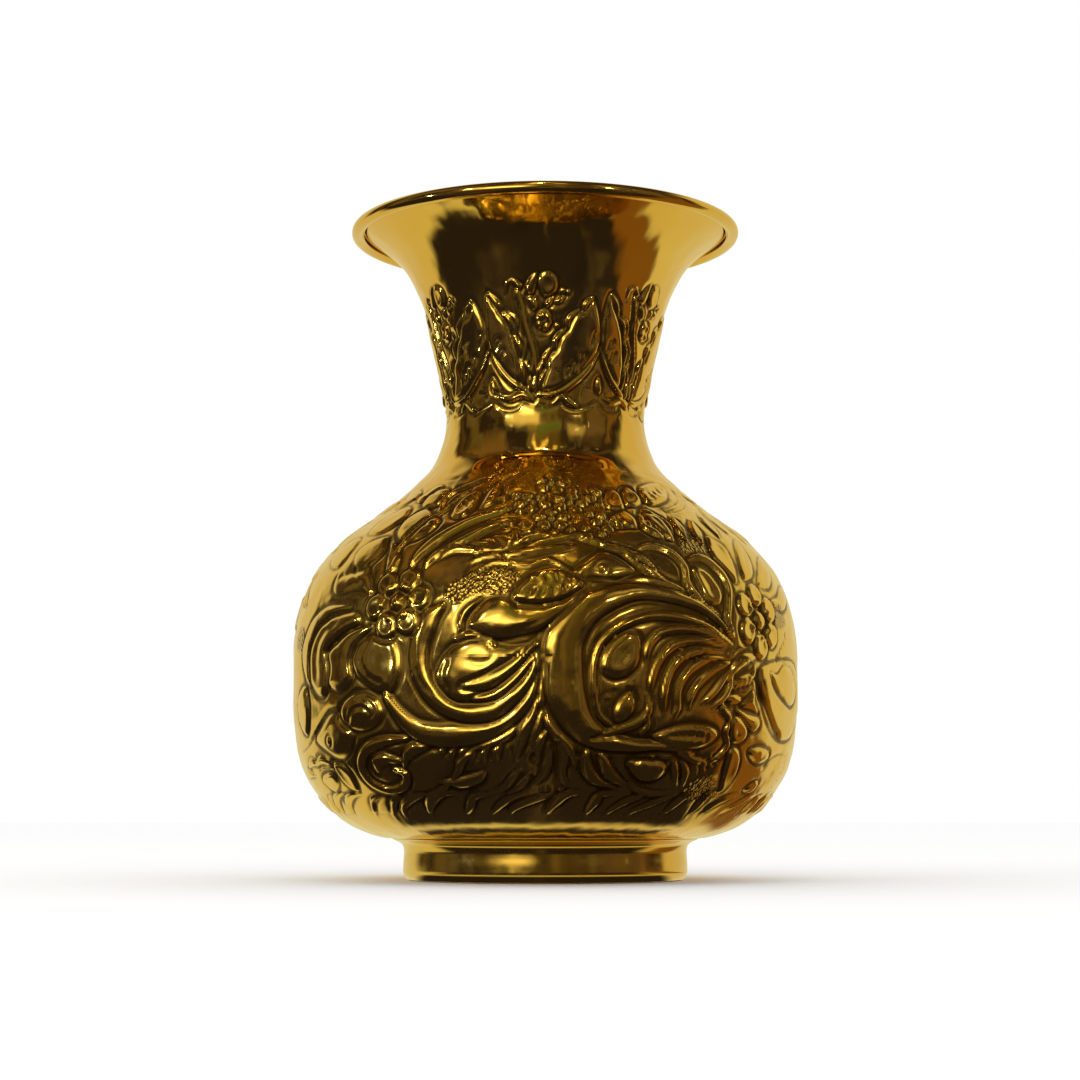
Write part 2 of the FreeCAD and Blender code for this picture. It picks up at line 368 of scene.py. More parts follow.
def soften(h, cells):
    """Mean over a square of cells each way, twice, round the pot and along the outline."""
    for _ in range(2):
        h = sum(np.roll(h, k, 1) for k in range(-cells, cells + 1)) / (2 * cells + 1)
        edge = np.pad(h, ((cells, cells), (0, 0)), mode="edge")
        h = sum(edge[k:k + len(h)] for k in range(2 * cells + 1)) / (2 * cells + 1)
    return h


def unevenness(sheet, columns, rng, waves):
    """Hand-worked waviness: sums of waves of random direction, length and phase.

    Each of waves is (height, shortest, longest) in mm, and stands for WAVES waves.
    """
    total = np.zeros((len(sheet.s), columns))
    middle = float(np.median(sheet.radius))
    turn = np.arange(columns) * 2 * math.pi / columns
    for high, shortest, longest in waves:
        for _ in range(WAVES):
            length = rng.uniform(shortest, longest)
            angle = rng.uniform(0, math.pi)
            turns = round(2 * math.pi * middle / length * math.cos(angle))
            rise = 2 * math.pi / length * math.sin(angle) * middle
            phase = rng.uniform(0, 2 * math.pi)
            total += high / WAVES_SPREAD * np.cos((turn * turns)[None, :]
                                                  + (sheet.climb * rise)[:, None] + phase)
    return total


# ---------------------------------------------------------------- the body's ornament
# Places are (degrees round from the front, millimetres up) on the half turn that repeats.

def left_flower_leaves(sheet):
    """Long leaves that droop from the small flower, the outer ones first."""
    sheet.patch([(-47, 98), (-56, 100), (-63, 97), (-68, 89), (-69.5, 80), (-66, 72), (-62, 72),
                 (-62, 85), (-56, 94)], edge=4.0)
    sheet.patch([(-45, 96), (-53, 95.5), (-59, 92), (-63, 85.5), (-64.2, 78), (-63, 71),
                 (-59.5, 66.5), (-56, 66.5), (-54, 72), (-54, 79), (-55, 82.5), (-50, 87.5),
                 (-44, 91)], edge=4.5, high=1.5)
    sheet.line([(-50, 93), (-57, 89), (-60, 81), (-59.5, 72)], wide=3.4, deep=0.5)
    sheet.patch([(-39, 91), (-46, 89.5), (-51, 86), (-55, 82), (-54.4, 76), (-54.7, 70),
                 (-50, 67.5), (-46, 71), (-45, 79), (-42, 87)], edge=4.0, high=1.5)
    sheet.patch([(-38, 88), (-43.5, 85), (-46.2, 79), (-45, 73.5), (-41, 69), (-36, 65.5),
                 (-33, 68), (-31.5, 76), (-33, 84)], edge=4.5, high=1.4)
    sheet.line([(-40, 86), (-43, 79), (-41, 73), (-36, 69)], wide=2.6, deep=0.4)
    for tip, shift in (((-50, 119), 0), ((-56.5, 112), 1)):
        sheet.band([(-42, 104 - shift), (-46, 108), (tip[0] + 2, tip[1] - 5), tip],
                   wide=[2, 7, 8, 1], high=1.3)
    sheet.band([(-39, 107), (-38, 112), (-39, 117), (-42, 122)], wide=[3, 6, 6, 1], high=1.4)
    sheet.line([(-47, 106), (-50, 111), (-53, 117)], wide=1.2)


def left_scroll(sheet):
    """The hooked scroll: a hollow bulb held in a broad band that runs to the stem."""
    sheet.band([(-36, 66), (-32.5, 58.5), (-28, 53), (-22, 51), (-15, 52), (-9, 56), (-4.5, 62),
                (-2.3, 70), (-1.2, 78)], wide=[3, 6, 8, 9, 9, 8, 6, 3.5, 1], high=1.5)
    sheet.band([(-22.5, 96), (-25.5, 91), (-27.3, 82), (-27.2, 74), (-25, 67), (-21, 61.5),
                (-15.5, 58.8), (-10.5, 60), (-6, 65.5), (-3, 72), (-1.7, 79.5)],
               wide=[4, 10, 9.5, 8.5, 8, 8, 8.5, 8, 6, 3.5, 1], high=1.8)
    sheet.line([(-28.8, 84), (-28.6, 77), (-26.8, 70), (-23.5, 64.5)], wide=2.0, deep=0.5)
    sheet.patch([(-23.8, 70), (-23.2, 76), (-20.5, 81.5), (-16, 85), (-12.3, 84.5), (-9, 82),
                 (-4, 82.5), (-1.4, 85.5), (-4, 79), (-9, 73), (-11, 66), (-15, 62),
                 (-20, 63)], high=2.1, edge=6.5, sink=0.7)
    sheet.line([(-20.8, 78), (-22, 72), (-20.5, 66.5)], wide=3.0, deep=0.7)
    sheet.band([(-17, 68), (-12, 69.5), (-7, 74.5), (-2, 82.5)], wide=[3, 6, 4.5, 1],
               high=1.0, on=1.0, sink=0.5)
    sheet.band([(-15, 63.5), (-10.5, 65), (-6, 71), (-2, 79)], wide=[2, 3.5, 3, 1],
               high=0.9, on=0.8, sink=0.45)
    sheet.line([(-16.5, 77), (-13, 76), (-10, 78.5)], wide=2.6, deep=0.4)
    sheet.band([(-10.8, 82), (-12.4, 85), (-15.5, 85.8), (-19, 84)], wide=[2, 2.6, 2.6, 1.5],
               high=1.2, on=0.8)


def upper_leaf(sheet):
    """The lobed leaf over the scroll, drawn out to a sharp tip, with its hatched bract."""
    sheet.band([(-19, 105), (-11.5, 112.1), (-4.3, 110.6), (0.9, 112.6), (5.3, 108.6),
                (9, 106)], wide=[1, 2.6, 2.2, 2.6, 2.4, 1], high=1.3)
    sheet.patch([(-6.5, 97.5), (-6.5, 102), (-3, 108), (2, 110), (6.5, 107), (8.5, 103.5),
                 (5, 99), (0, 96.6)], high=1.5, edge=2.6, sink=0.6)
    sheet.hatch([(-3.5, 100.6), (0.5, 100.4), (4.6, 102.4)], 4, 3.6, lean=70, wide=1.3, deep=0.6)
    sheet.hatch([(-2.5, 105), (1.5, 106.3), (6, 105.2)], 4, 3.6, lean=110, wide=1.3, deep=0.6)
    sheet.line([(-5.5, 100.5), (0, 103), (7.5, 104.2)], wide=1.3, deep=0.5)
    sheet.band([(-17.8, 86.5), (-17.8, 91), (-16.5, 95), (-13.5, 98.8)], wide=[1.5, 3, 3, 1.5],
               high=1.5)
    sheet.patch([(-16.3, 88), (-15.6, 93), (-13.2, 97.5), (-10, 99.2), (-7, 97.6), (-5.5, 95.6),
                 (-1, 95.4), (4, 97.8), (8.8, 102.6), (6, 96.5), (2.5, 91.5), (-1, 87),
                 (-6, 84.6), (-11, 84)], high=2.1, edge=6.5, sink=0.6)
    sheet.line([(-15.2, 90), (-14.4, 93.5), (-12.2, 96.5)], wide=1.6, deep=0.5)
    sheet.line([(-8.6, 86.2), (-3.6, 88.6), (0, 91.6), (4.4, 96.4)], wide=1.4, deep=0.45)


def wheel(sheet):
    """The great crescent, open to the right, and the feather strands that fan inside it."""
    sheet.band([(44.5, 86), (37, 95.5), (29, 100), (20, 101.5), (13, 98.5), (7.5, 93), (4, 84),
                (3.4, 74), (4.2, 64), (7, 55), (12, 49.5), (19, 47.5), (27, 47.5), (34, 45)],
               wide=[1, 4, 6, 7.5, 10, 12.5, 14.5, 15.5, 15, 12, 8, 5, 3.5, 1],
               high=2.1, sink=0.65)
    sheet.band([(9, 50), (14.5, 52.5), (19.5, 55.5), (22, 60), (21.5, 66)],
               wide=[1, 3, 3.4, 3, 1], high=1.2)
    sheet.band([(44, 84), (37, 89.5), (29, 92.6), (22, 92.5), (15.5, 88.5), (11.3, 82),
                (9.9, 74), (10, 66), (11.2, 58), (14.5, 53.5)],
               wide=[1, 3.6, 4, 3.4, 3, 2.6, 2.4, 2.4, 2.2, 1], high=1.5, sink=0.55)
    sheet.patch([(11.3, 74), (11.8, 79), (14, 83.5), (17.5, 87), (20, 85.5), (20.4, 80),
                 (19.2, 74.5), (16.5, 71), (13.4, 70.6)], high=1.6, edge=4.0, dish=0.5)
    strands = (
        ([(44, 83.4), (37, 87), (30, 88.5), (24.5, 86.5), (21.8, 81.5), (21.4, 76)], 3.2),
        ([(43, 82.4), (35.5, 84.5), (28.5, 83), (24.5, 77.5), (22.6, 70.5), (22.2, 65)], 3.2),
        ([(42.5, 81.2), (34.5, 81), (29, 77.5), (26.4, 71.5), (25.4, 64), (25.6, 58)], 3.4),
        ([(42.5, 79.6), (36, 78), (31.4, 73.5), (29, 67.5), (28.8, 61), (27.4, 56.5)], 3.4),
        ([(43, 77.6), (38, 74.5), (34, 69.5), (32, 64.5), (31.6, 60.5)], 3.2),
        ([(43.5, 75.4), (40.5, 70.5), (37.8, 66), (34.4, 62.4)], 3.4),
        ([(44, 73), (42.8, 68.4), (40.6, 64.4), (37.4, 61)], 3.2),
    )
    for points, wide in strands:
        sheet.band(points, wide=[1] + [wide] * (len(points) - 2) + [0.8], high=1.3, sink=0.5)
    sheet.patch([(18, 66), (15.6, 64.2), (14.2, 60), (14.8, 55.4), (17.2, 56.5), (19, 61)],
                high=1.4, edge=2.6, sink=0.55)
    sheet.band([(21.9, 58.5), (21.8, 54.5), (20.2, 51.2)], wide=[1, 2.4, 1], high=1.2)
    sheet.patch([(22.6, 50.6), (27, 54), (32, 55.6), (37.5, 55), (40.4, 52), (38, 48.4),
                 (33.5, 46.4), (28, 47)], high=1.6, edge=3.4, dish=0.6)
    sheet.line([(25.5, 50.8), (30, 51.8), (36, 51)], wide=1.6, deep=0.4)
    sheet.hatch([(27, 51.2), (31, 51.8), (37, 51.2)], 6, 4.4, lean=80, wide=1.0, deep=0.3)
    for x, z in ((5.2, 68.5), (14.4, 67.8), (12.8, 64.3), (17.5, 68.6)):
        sheet.bead((x, z), radius=1.1, high=0.35, sink=0.1)


def great_stem(sheet):
    """Strands that gather at the stem between scroll and wheel and spread below it."""
    sheet.band([(-0.4, 79), (-1.6, 72), (-2.6, 64), (-5, 56), (-9, 50.5), (-16, 46)],
               wide=[1, 2.4, 3.6, 4.2, 4.2, 1], high=1.4)
    sheet.band([(0.2, 78), (-0.9, 69), (-0.7, 60), (1.4, 52.5), (4.6, 47), (6.6, 40)],
               wide=[1, 2.2, 3, 3.8, 3.6, 1], high=1.5)
    sheet.band([(-1.6, 65), (-2.8, 58), (-4.8, 51), (-6.6, 42)], wide=[1, 4.4, 5.4, 1], high=1.5)
    sheet.line([(-2.4, 62), (-4.3, 53), (-6, 45)], wide=1.1, deep=0.4)
    sheet.band([(-0.6, 61), (-1.6, 54), (-2.8, 48), (-4.2, 42.5)], wide=[1, 3.4, 3.6, 1],
               high=1.2)
    sheet.band([(0, 52), (-1, 49.6), (-1.8, 45.4), (-1.6, 42)], wide=[1.5, 3.4, 3, 1], high=1.4)
    sheet.bead((-2, 42.4), radius=1.6)
    sheet.bead((1, 41.2), radius=1.4)
    sheet.bead((6.8, 42.8), radius=1.6)
    sheet.band([(2.6, 49.6), (3.8, 44), (3.4, 38), (4.8, 33)], wide=[1, 3.6, 3.2, 1], high=1.2)
    sheet.band([(0.4, 48), (0.6, 43), (-0.6, 37), (-3.6, 33)], wide=[1, 3, 3.2, 1], high=1.2)


def acanthus(sheet):
    """Low leaves under the scroll, with their lobes cut like fingers."""
    for top, tip, lean in (((-8.6, 49), (-10.6, 41.4), -0.8), ((-10.4, 49.4), (-13.6, 41), -1),
                           ((-12.4, 49.6), (-16.4, 41.4), -1), ((-14.6, 49.4), (-19, 40.8), -1),
                           ((-17, 48.8), (-21, 42.4), -1), ((-19.4, 48.4), (-23.4, 43.2), -1)):
        middle = ((top[0] + tip[0]) / 2 + lean, (top[1] + tip[1]) / 2 + 1)
        sheet.band([top, middle, tip], wide=[1, 3.8, 1], high=1.3, sink=0.5)
    sheet.band([(-15, 46.4), (-18.4, 42), (-20, 37.4), (-24, 32.6), (-30, 30)],
               wide=[1, 3, 3, 2.4, 1], high=1.3)
    sheet.band([(-22, 49), (-27, 48), (-31, 45), (-33, 40)], wide=[1.5, 5, 5, 1], high=1.3)
    sheet.hatch([(-24, 47.6), (-28, 46.6), (-31.5, 43)], 6, 3.6, lean=75, wide=1.0, deep=0.35)
    sheet.band([(-13, 39), (-15.5, 36), (-19.5, 34.4), (-25, 35)], wide=[1, 5, 5, 1], high=1.3)
    sheet.band([(-5.4, 40), (-7.4, 36), (-9.2, 33), (-13.5, 30.6)], wide=[1, 3.4, 3, 1])
    sheet.band([(-3.6, 38.6), (-5, 34.4), (-8.6, 30.6)], wide=[1, 3.4, 1])
    sheet.bead((-3.9, 35.8), radius=1.3)
    sheet.bead((0, 32.2), radius=1.4)
    sheet.bead((3.6, 32), radius=1.4)
    sheet.band([(9, 47), (8.6, 41), (11, 35.6), (16, 32.8)], wide=[1, 4.5, 4.5, 1], high=1.3)
    sheet.band([(11.5, 46), (12.6, 41.6), (14.4, 37), (18.6, 33.4)], wide=[1, 4, 5, 1], high=1.2)
    sheet.bead((13.6, 36.2), radius=1.2)
    sheet.band([(17, 44.6), (22, 46.4), (28, 46.4), (34, 43), (38, 41.6)],
               wide=[1, 2.6, 2.8, 2.4, 1], high=1.3)
    sheet.patch([(17.4, 41.6), (20.6, 42.6), (26.4, 42), (27.6, 38.4), (25, 35), (20.8, 35.6)],
                high=1.5, edge=2.8)
    sheet.hatch([(18.8, 41), (22, 39), (26, 37)], 4, 4.6, lean=60, wide=1.3, deep=0.5)
    sheet.bead((23.6, 43.6), radius=1.4)
    sheet.bead((27.6, 41), radius=1.3)
    sheet.band([(28.6, 43), (30, 38.6), (31.4, 33)], wide=[1, 3.2, 1])
    sheet.band([(31, 42.4), (32.8, 38), (33.2, 32.4)], wide=[1, 3.2, 1])
    sheet.band([(19, 34.6), (22, 31.6), (27, 30.6), (32, 31.4)], wide=[1, 2.6, 2.6, 1])


def low_scrolls(sheet):
    """Curled leaves at the lower left and the broad leaf beside them."""
    sheet.patch([(-62.5, 50.5), (-59, 56), (-54, 60.5), (-49.5, 59), (-46, 54), (-47.5, 47),
                 (-52, 43), (-57, 45.5)], high=1.5, edge=5)
    sheet.bead((-55, 50.2), radius=1.6)
    sheet.patch([(-50.5, 59), (-49, 64), (-44, 67.4), (-39, 65.6), (-36.6, 60.4), (-38.6, 55),
                 (-43.6, 53), (-48, 54.6)], high=1.5, edge=4)
    sheet.band([(-47.6, 57), (-46.4, 61.6), (-42.6, 63.4), (-39.8, 60.4), (-41.6, 57)],
               wide=[1.5, 2.4, 2.4, 2.4, 1], high=0.9, on=1.0)
    sheet.band([(-30, 50.4), (-37, 49.6), (-43, 46.4), (-45.6, 40.6), (-44, 34.6), (-39.4, 32),
                (-34.6, 33.4), (-33, 37.4), (-36, 39.4)],
               wide=[1, 4, 5.5, 5.5, 5, 4.6, 4.4, 3.6, 1.5], high=1.7, sink=0.6)
    sheet.patch([(-42, 43.6), (-38, 45.6), (-33.4, 43.4), (-33, 41), (-37.6, 41.2),
                 (-41, 38)], high=1.3, edge=2.6)
    sheet.patch([(-56.6, 41.4), (-53, 42.6), (-49.8, 38), (-50.4, 31.6), (-54, 33)], high=1.4,
                edge=2.6, dish=0.7)
    sheet.patch([(-66, 35), (-64, 38), (-58, 38.8), (-57.4, 34.4), (-62, 31.4)], high=1.3,
                edge=2.4, dish=0.5)
    sheet.patch([(-73, 59), (-73, 66), (-69, 71), (-65.5, 70), (-64.6, 61), (-66.6, 53),
                 (-70, 53.6)], high=1.5, edge=4)
    sheet.line([(-76, 46.4), (-68, 48.8), (-62, 53.4), (-57.6, 57.6)], wide=1.4)
    sheet.hatch([(-74.5, 68), (-74, 62), (-73.6, 57)], 5, 3, wide=1.2)
    for x, z in ((-68, 43), (-73, 39), (-62, 43.6)):
        sheet.band([(x - 4, z - 2), (x, z), (x + 4, z - 1.5)], wide=[1, 3.6, 1], high=1.2)


def right_leaves(sheet):
    """The wavy leaf, the berry and the matted gaps at the lower right."""
    sheet.band([(38, 41), (41.6, 45), (43.2, 49), (42.4, 53), (43.6, 57.4), (41, 61),
                (41, 66)], wide=[1, 3, 3, 3, 3, 3, 1.5], high=1.5)
    sheet.patch([(43.6, 57.6), (46.4, 59), (49.6, 55.4), (49.2, 50.6), (46, 48.4),
                 (43.6, 51)], high=1.6, edge=3.2, dish=0.8)
    sheet.patch([(41.4, 64.6), (43.4, 66.4), (46.6, 65.6), (47, 63.6), (43.4, 62.6)], high=1.2,
                edge=1.8, dish=0.7)
    sheet.band([(42, 70), (44.4, 75.4), (48, 79), (52.4, 80.4)], wide=[1.5, 4.5, 5, 1], high=1.5)
    sheet.band([(41.4, 67), (45.6, 70.6), (50, 72.8), (52, 77)], wide=[1, 4.2, 4, 1], high=1.4)
    sheet.hatch([(45.4, 68.6), (48, 70.4), (50.6, 72)], 4, 3, lean=70, wide=1.1, deep=0.4)
    sheet.patch([(46.4, 62.4), (49, 66), (51.4, 68.2), (52, 64), (53.4, 60.4), (50.6, 61)],
                high=1.3, edge=2.4)
    sheet.patch([(44.4, 61.6), (49, 60), (53.6, 58.6), (54, 55), (50.6, 53.4)], high=1.3,
                edge=2.4)
    sheet.patch([(44, 46.4), (46.6, 47.6), (48.8, 43), (48.2, 34), (45.6, 31), (43.6, 38)],
                high=1.4, edge=2.8, dish=0.6)
    sheet.hatch([(36, 39), (40, 43), (42.6, 46)], 5, 5, lean=70, wide=1.3, deep=0.45)
    sheet.patch([(50.6, 46.4), (55, 48.4), (60.6, 46.6), (60, 43), (54.6, 41.8)], high=1.3,
                edge=2.6)
    sheet.hatch([(54, 45.6), (57, 45.4), (60, 45)], 3, 3, lean=30, wide=1.0)
    sheet.line([(59, 40), (62.4, 43.6), (66.6, 45.6), (71, 45.8)], wide=1.5)
    sheet.patch([(55, 32), (58, 35.6), (60.6, 35), (59, 31)], high=1.2, edge=1.8)
    sheet.hatch([(71.6, 46), (72.6, 40), (71.6, 33)], 6, 3.4, wide=1.3, deep=0.4)


def great_lobe(sheet):
    """The big heart-shaped lobe at the right, in its two long calyx strokes."""
    sheet.patch([(53.4, 76), (53.6, 67), (56, 58.6), (61, 52.4), (68, 50.4), (75.6, 53.6),
                 (80, 62), (80.4, 72), (76, 79), (69, 81), (60, 79.4)], high=1.3, edge=6)
    sheet.patch([(57.8, 75.6), (59.4, 69.6), (64, 65.4), (69.6, 63), (74, 66), (75.4, 72),
                 (71.4, 77.4), (65.4, 78.4), (61.4, 75.4)], high=1.3, edge=5, on=0.7)
    sheet.line([(52.4, 75.4), (52.6, 70), (53.8, 64)], wide=2.2, deep=0.8)
    sheet.line([(53.8, 68), (56.6, 61.4), (60.4, 55.4), (65, 52)], wide=2.2, deep=0.9)
    sheet.hatch([(71, 75), (73.6, 72.6), (75.4, 70)], 3, 3.4, wide=1.4, deep=0.5)
    sheet.hatch([(61.6, 80.4), (64.6, 84), (68, 89.6)], 6, 3.6, lean=60, wide=1.2, deep=0.45)


def arches(sheet):
    """Stems that arch over the wheel to the large flower, with a hollow oval leaf."""
    sheet.band([(13, 119.6), (17.6, 117.6), (20.6, 113), (24.6, 108.4), (30, 104.6)],
               wide=[1.5, 3, 3, 3, 1], high=1.5)
    sheet.band([(14, 103), (20, 105.4), (27, 104.4), (33, 100.4), (38.6, 94)],
               wide=[1, 4, 5, 4, 1], high=1.4)
    sheet.band([(21.6, 118), (26.6, 119.2), (31, 117), (33.4, 111.6), (33, 105.6), (35.2, 100),
                (39.4, 94.6), (44, 87)], wide=[1, 3.2, 3.8, 3.8, 3.8, 3.8, 3.2, 1], high=1.7)
    sheet.patch([(35, 110.2), (37.4, 112.4), (40.6, 109.8), (42.6, 103.4), (41.6, 98.6),
                 (38.6, 97.6), (36.4, 101)], high=1.6, edge=3, dish=0.9)
    sheet.band([(35.4, 115), (40, 115.6), (43.8, 111.4), (45.2, 105.4), (44, 99), (43, 93),
                (44.4, 87)], wide=[1.5, 4.4, 5, 4.4, 3.8, 3.2, 1.2], high=1.7)
    sheet.patch([(5.6, 107), (9, 112.6), (13.4, 116.6), (18, 113.6), (20.4, 108.6),
                 (14, 105.6)], high=1.5, edge=4)
    sheet.band([(-17, 109), (-12, 113.6), (-5, 115.4), (2, 117.4), (8, 118.4)],
               wide=[1, 4, 4.4, 3.6, 1], high=1.4)
    sheet.band([(-2.3, 121.9), (6, 122.6), (13.1, 119.4), (21.7, 115.4), (25.7, 109.2)],
               wide=[1, 3, 3.4, 3, 1], high=1.5)
    sheet.bead((12.8, 109.4), radius=1.6)
    sheet.patch([(43.4, 116), (44.4, 121.6), (47, 125.4), (51, 121.6), (50.4, 112.6),
                 (48.8, 106.8), (46.4, 110)], high=1.5, edge=3, dish=0.6)
    sheet.patch([(51.6, 108.6), (52.6, 115.6), (56.6, 122.4), (62, 125), (60.6, 117),
                 (56.4, 110)], high=1.5, edge=3.4)
    sheet.patch([(57.6, 107.4), (61.4, 113.6), (67, 118.6), (73, 119.6), (69.4, 112.4),
                 (63.4, 106.6)], high=1.5, edge=3.4)
    sheet.patch([(62, 101.6), (67, 104.4), (73, 108.6), (79.6, 109), (75, 102.4), (68, 98.6)],
                high=1.5, edge=3.4)
    sheet.line([(54, 111), (57, 117), (60, 121.6)], wide=1.1)
    sheet.line([(60.4, 108.6), (65, 113.6), (70, 116.8)], wide=1.1)
    sheet.line([(64.6, 101.6), (70, 104.4), (75.6, 106.4)], wide=1.1)


def upper_left_leaves(sheet):
    """Pointed leaves, petals and hatched buds on the left of the shoulder."""
    sheet.patch([(-44, 143), (-37.4, 142.4), (-36.6, 137), (-41, 135.4), (-46, 138.4)],
                high=1.4, edge=3.4)
    sheet.patch([(-34.6, 132.6), (-30.2, 129.6), (-31.6, 124.4), (-37.4, 121.4), (-43, 125.6),
                 (-45, 131.6), (-41, 136)], high=1.5, edge=4)
    sheet.hatch([(-35.4, 130.6), (-33.4, 128), (-32.4, 125.6)], 3, 5, lean=80, wide=1.1)
    sheet.patch([(-44.6, 124.6), (-50, 124), (-54, 120), (-51.4, 113.6), (-46, 112.4),
                 (-42.6, 118)], high=1.4, edge=4)
    sheet.patch([(-48, 136), (-45.6, 131), (-49, 126.4), (-56, 126.4), (-58.6, 132),
                 (-54, 137.4)], high=1.4, edge=3.6)
    sheet.patch([(-57, 124), (-62, 126), (-68, 122), (-66, 116), (-58, 114)], high=1.4, edge=3.6)
    sheet.band([(-32.6, 111.5), (-31, 117), (-28.2, 121.6), (-21.8, 128.1), (-15, 131.6),
                (-8.7, 134)], wide=[1.5, 4.6, 5.4, 5, 3.6, 1], high=1.8, sink=0.6)
    sheet.band([(-28.6, 111), (-26.6, 115.4), (-23.3, 118.4), (-16.2, 124.6), (-8.4, 129)],
               wide=[1.5, 4.4, 4.8, 4.4, 1], high=1.7, sink=0.6)
    sheet.band([(-39, 110), (-38.4, 119), (-36, 127.6), (-31.6, 136), (-28, 142)],
               wide=[1, 2.4, 2.8, 2.4, 1], high=1.3)
    sheet.patch([(-19, 117.6), (-15, 121.6), (-9, 123.4), (-4, 121), (-8, 116.8), (-14, 115.6)],
                high=1.4, edge=3.6)
    sheet.band([(-25.6, 113.4), (-22.6, 117.4), (-18, 117.4), (-14, 115)],
               wide=[1, 3.4, 3.4, 1], high=1.3)
    sheet.patch([(-28.9, 132.4), (-29.7, 135.9), (-28.1, 139.3), (-24.4, 141.1), (-22.5, 139.9),
                 (-21.6, 135.3), (-23.1, 131.3), (-26.5, 130.2)], high=1.5, edge=2.4, dish=0.4)
    sheet.hatch([(-27.4, 132.6), (-25.6, 135.6), (-24, 139.4)], 5, 4.0, lean=70, wide=1.2,
                deep=0.6)
    sheet.patch([(-20.6, 134), (-20.4, 140), (-18, 143), (-15.4, 141), (-15.4, 136.4)],
                high=1.5, edge=2.6)
    sheet.band([(-10, 118), (-14, 120), (-19, 119.6)], wide=[1, 3.6, 1], high=1.3)
    sheet.band([(-9, 113.4), (-13, 114.6), (-18, 112)], wide=[1, 3.6, 1], high=1.3)


def posy(sheet):
    """The bunch of small flowers and berries at the top of the front."""
    for x, z, r in ((-8, 123, 2.0), (-5, 121.4, 2.0), (-9.4, 127.6, 2.2), (-5.8, 127, 2.0),
                    (-1.6, 124.4, 2.0), (2.4, 124, 1.8), (-11.6, 133.6, 2.2), (-7.4, 132.6, 2.2),
                    (6.4, 124.6, 2.0), (10.4, 125.4, 1.8), (14.4, 123.4, 1.8),
                    (-14, 138, 2.2), (-9.6, 139, 2.2), (12.6, 131.4, 2.0),
                    (9, 140.4, 2.4), (13, 138, 2.2), (17.6, 141, 2.4)):
        sheet.bead((x, z), radius=r, high=1.2, sink=0.5)
    for place, reach, lean in (((1.6, 129.4), 4.6, 20), ((-4, 136.4), 4.4, 50),
                               ((7.6, 136.2), 4.4, 0), ((17, 128.6), 4.2, 40),
                               ((2, 143.4), 4.0, 10), ((19, 137.8), 4.4, 30)):
        sheet.flower(place, 5, reach, reach * 0.56, lean=lean, boss=1.8)
    sheet.patch([(17.6, 129), (19.6, 132.4), (22.4, 133), (24.6, 130), (23.4, 126.8),
                 (19.8, 126.4)], high=1.5, edge=2.4)
    sheet.bead((21.6, 129.6), radius=2.2, high=0.6, sink=0.5)
    sheet.patch([(25.6, 128), (27.4, 132), (31, 135), (35, 133), (37, 128.6), (34.4, 123.6),
                 (30, 122.4), (26.6, 124.6)], high=1.5, edge=3)
    sheet.bead((29.8, 128.4), radius=2.6, high=0.8, sink=0.8)
    sheet.patch([(18.6, 134.6), (20, 139.4), (24, 141.6), (27, 138), (24, 134)], high=1.4,
                edge=2.4, dish=0.4)
    sheet.patch([(25.6, 136), (27.6, 141), (32, 142.6), (34, 138.4), (30, 135.6)], high=1.4,
                edge=2.4, dish=0.4)
    for points in ([(-4.7, 118.3), (1.3, 120.8), (9.9, 122.8), (11.2, 121)],
                   [(-7.7, 119), (-4.1, 122), (2.9, 123.9)],
                   [(13.6, 118.6), (17, 118.2), (20.2, 116), (21.5, 112.5)]):
        sheet.band(points, wide=[1] + [2.6] * (len(points) - 2) + [1], high=1.3)
    sheet.patch([(19.9, 131.7), (23.7, 133.4), (26, 130.2), (24.6, 126.1), (20.9, 127.2)],
                high=1.5, edge=2.4)
    sheet.patch([(28.9, 132.4), (33.7, 132.2), (35.2, 128.4), (34.1, 122), (30.4, 125)],
                high=1.5, edge=2.6, dish=0.4)


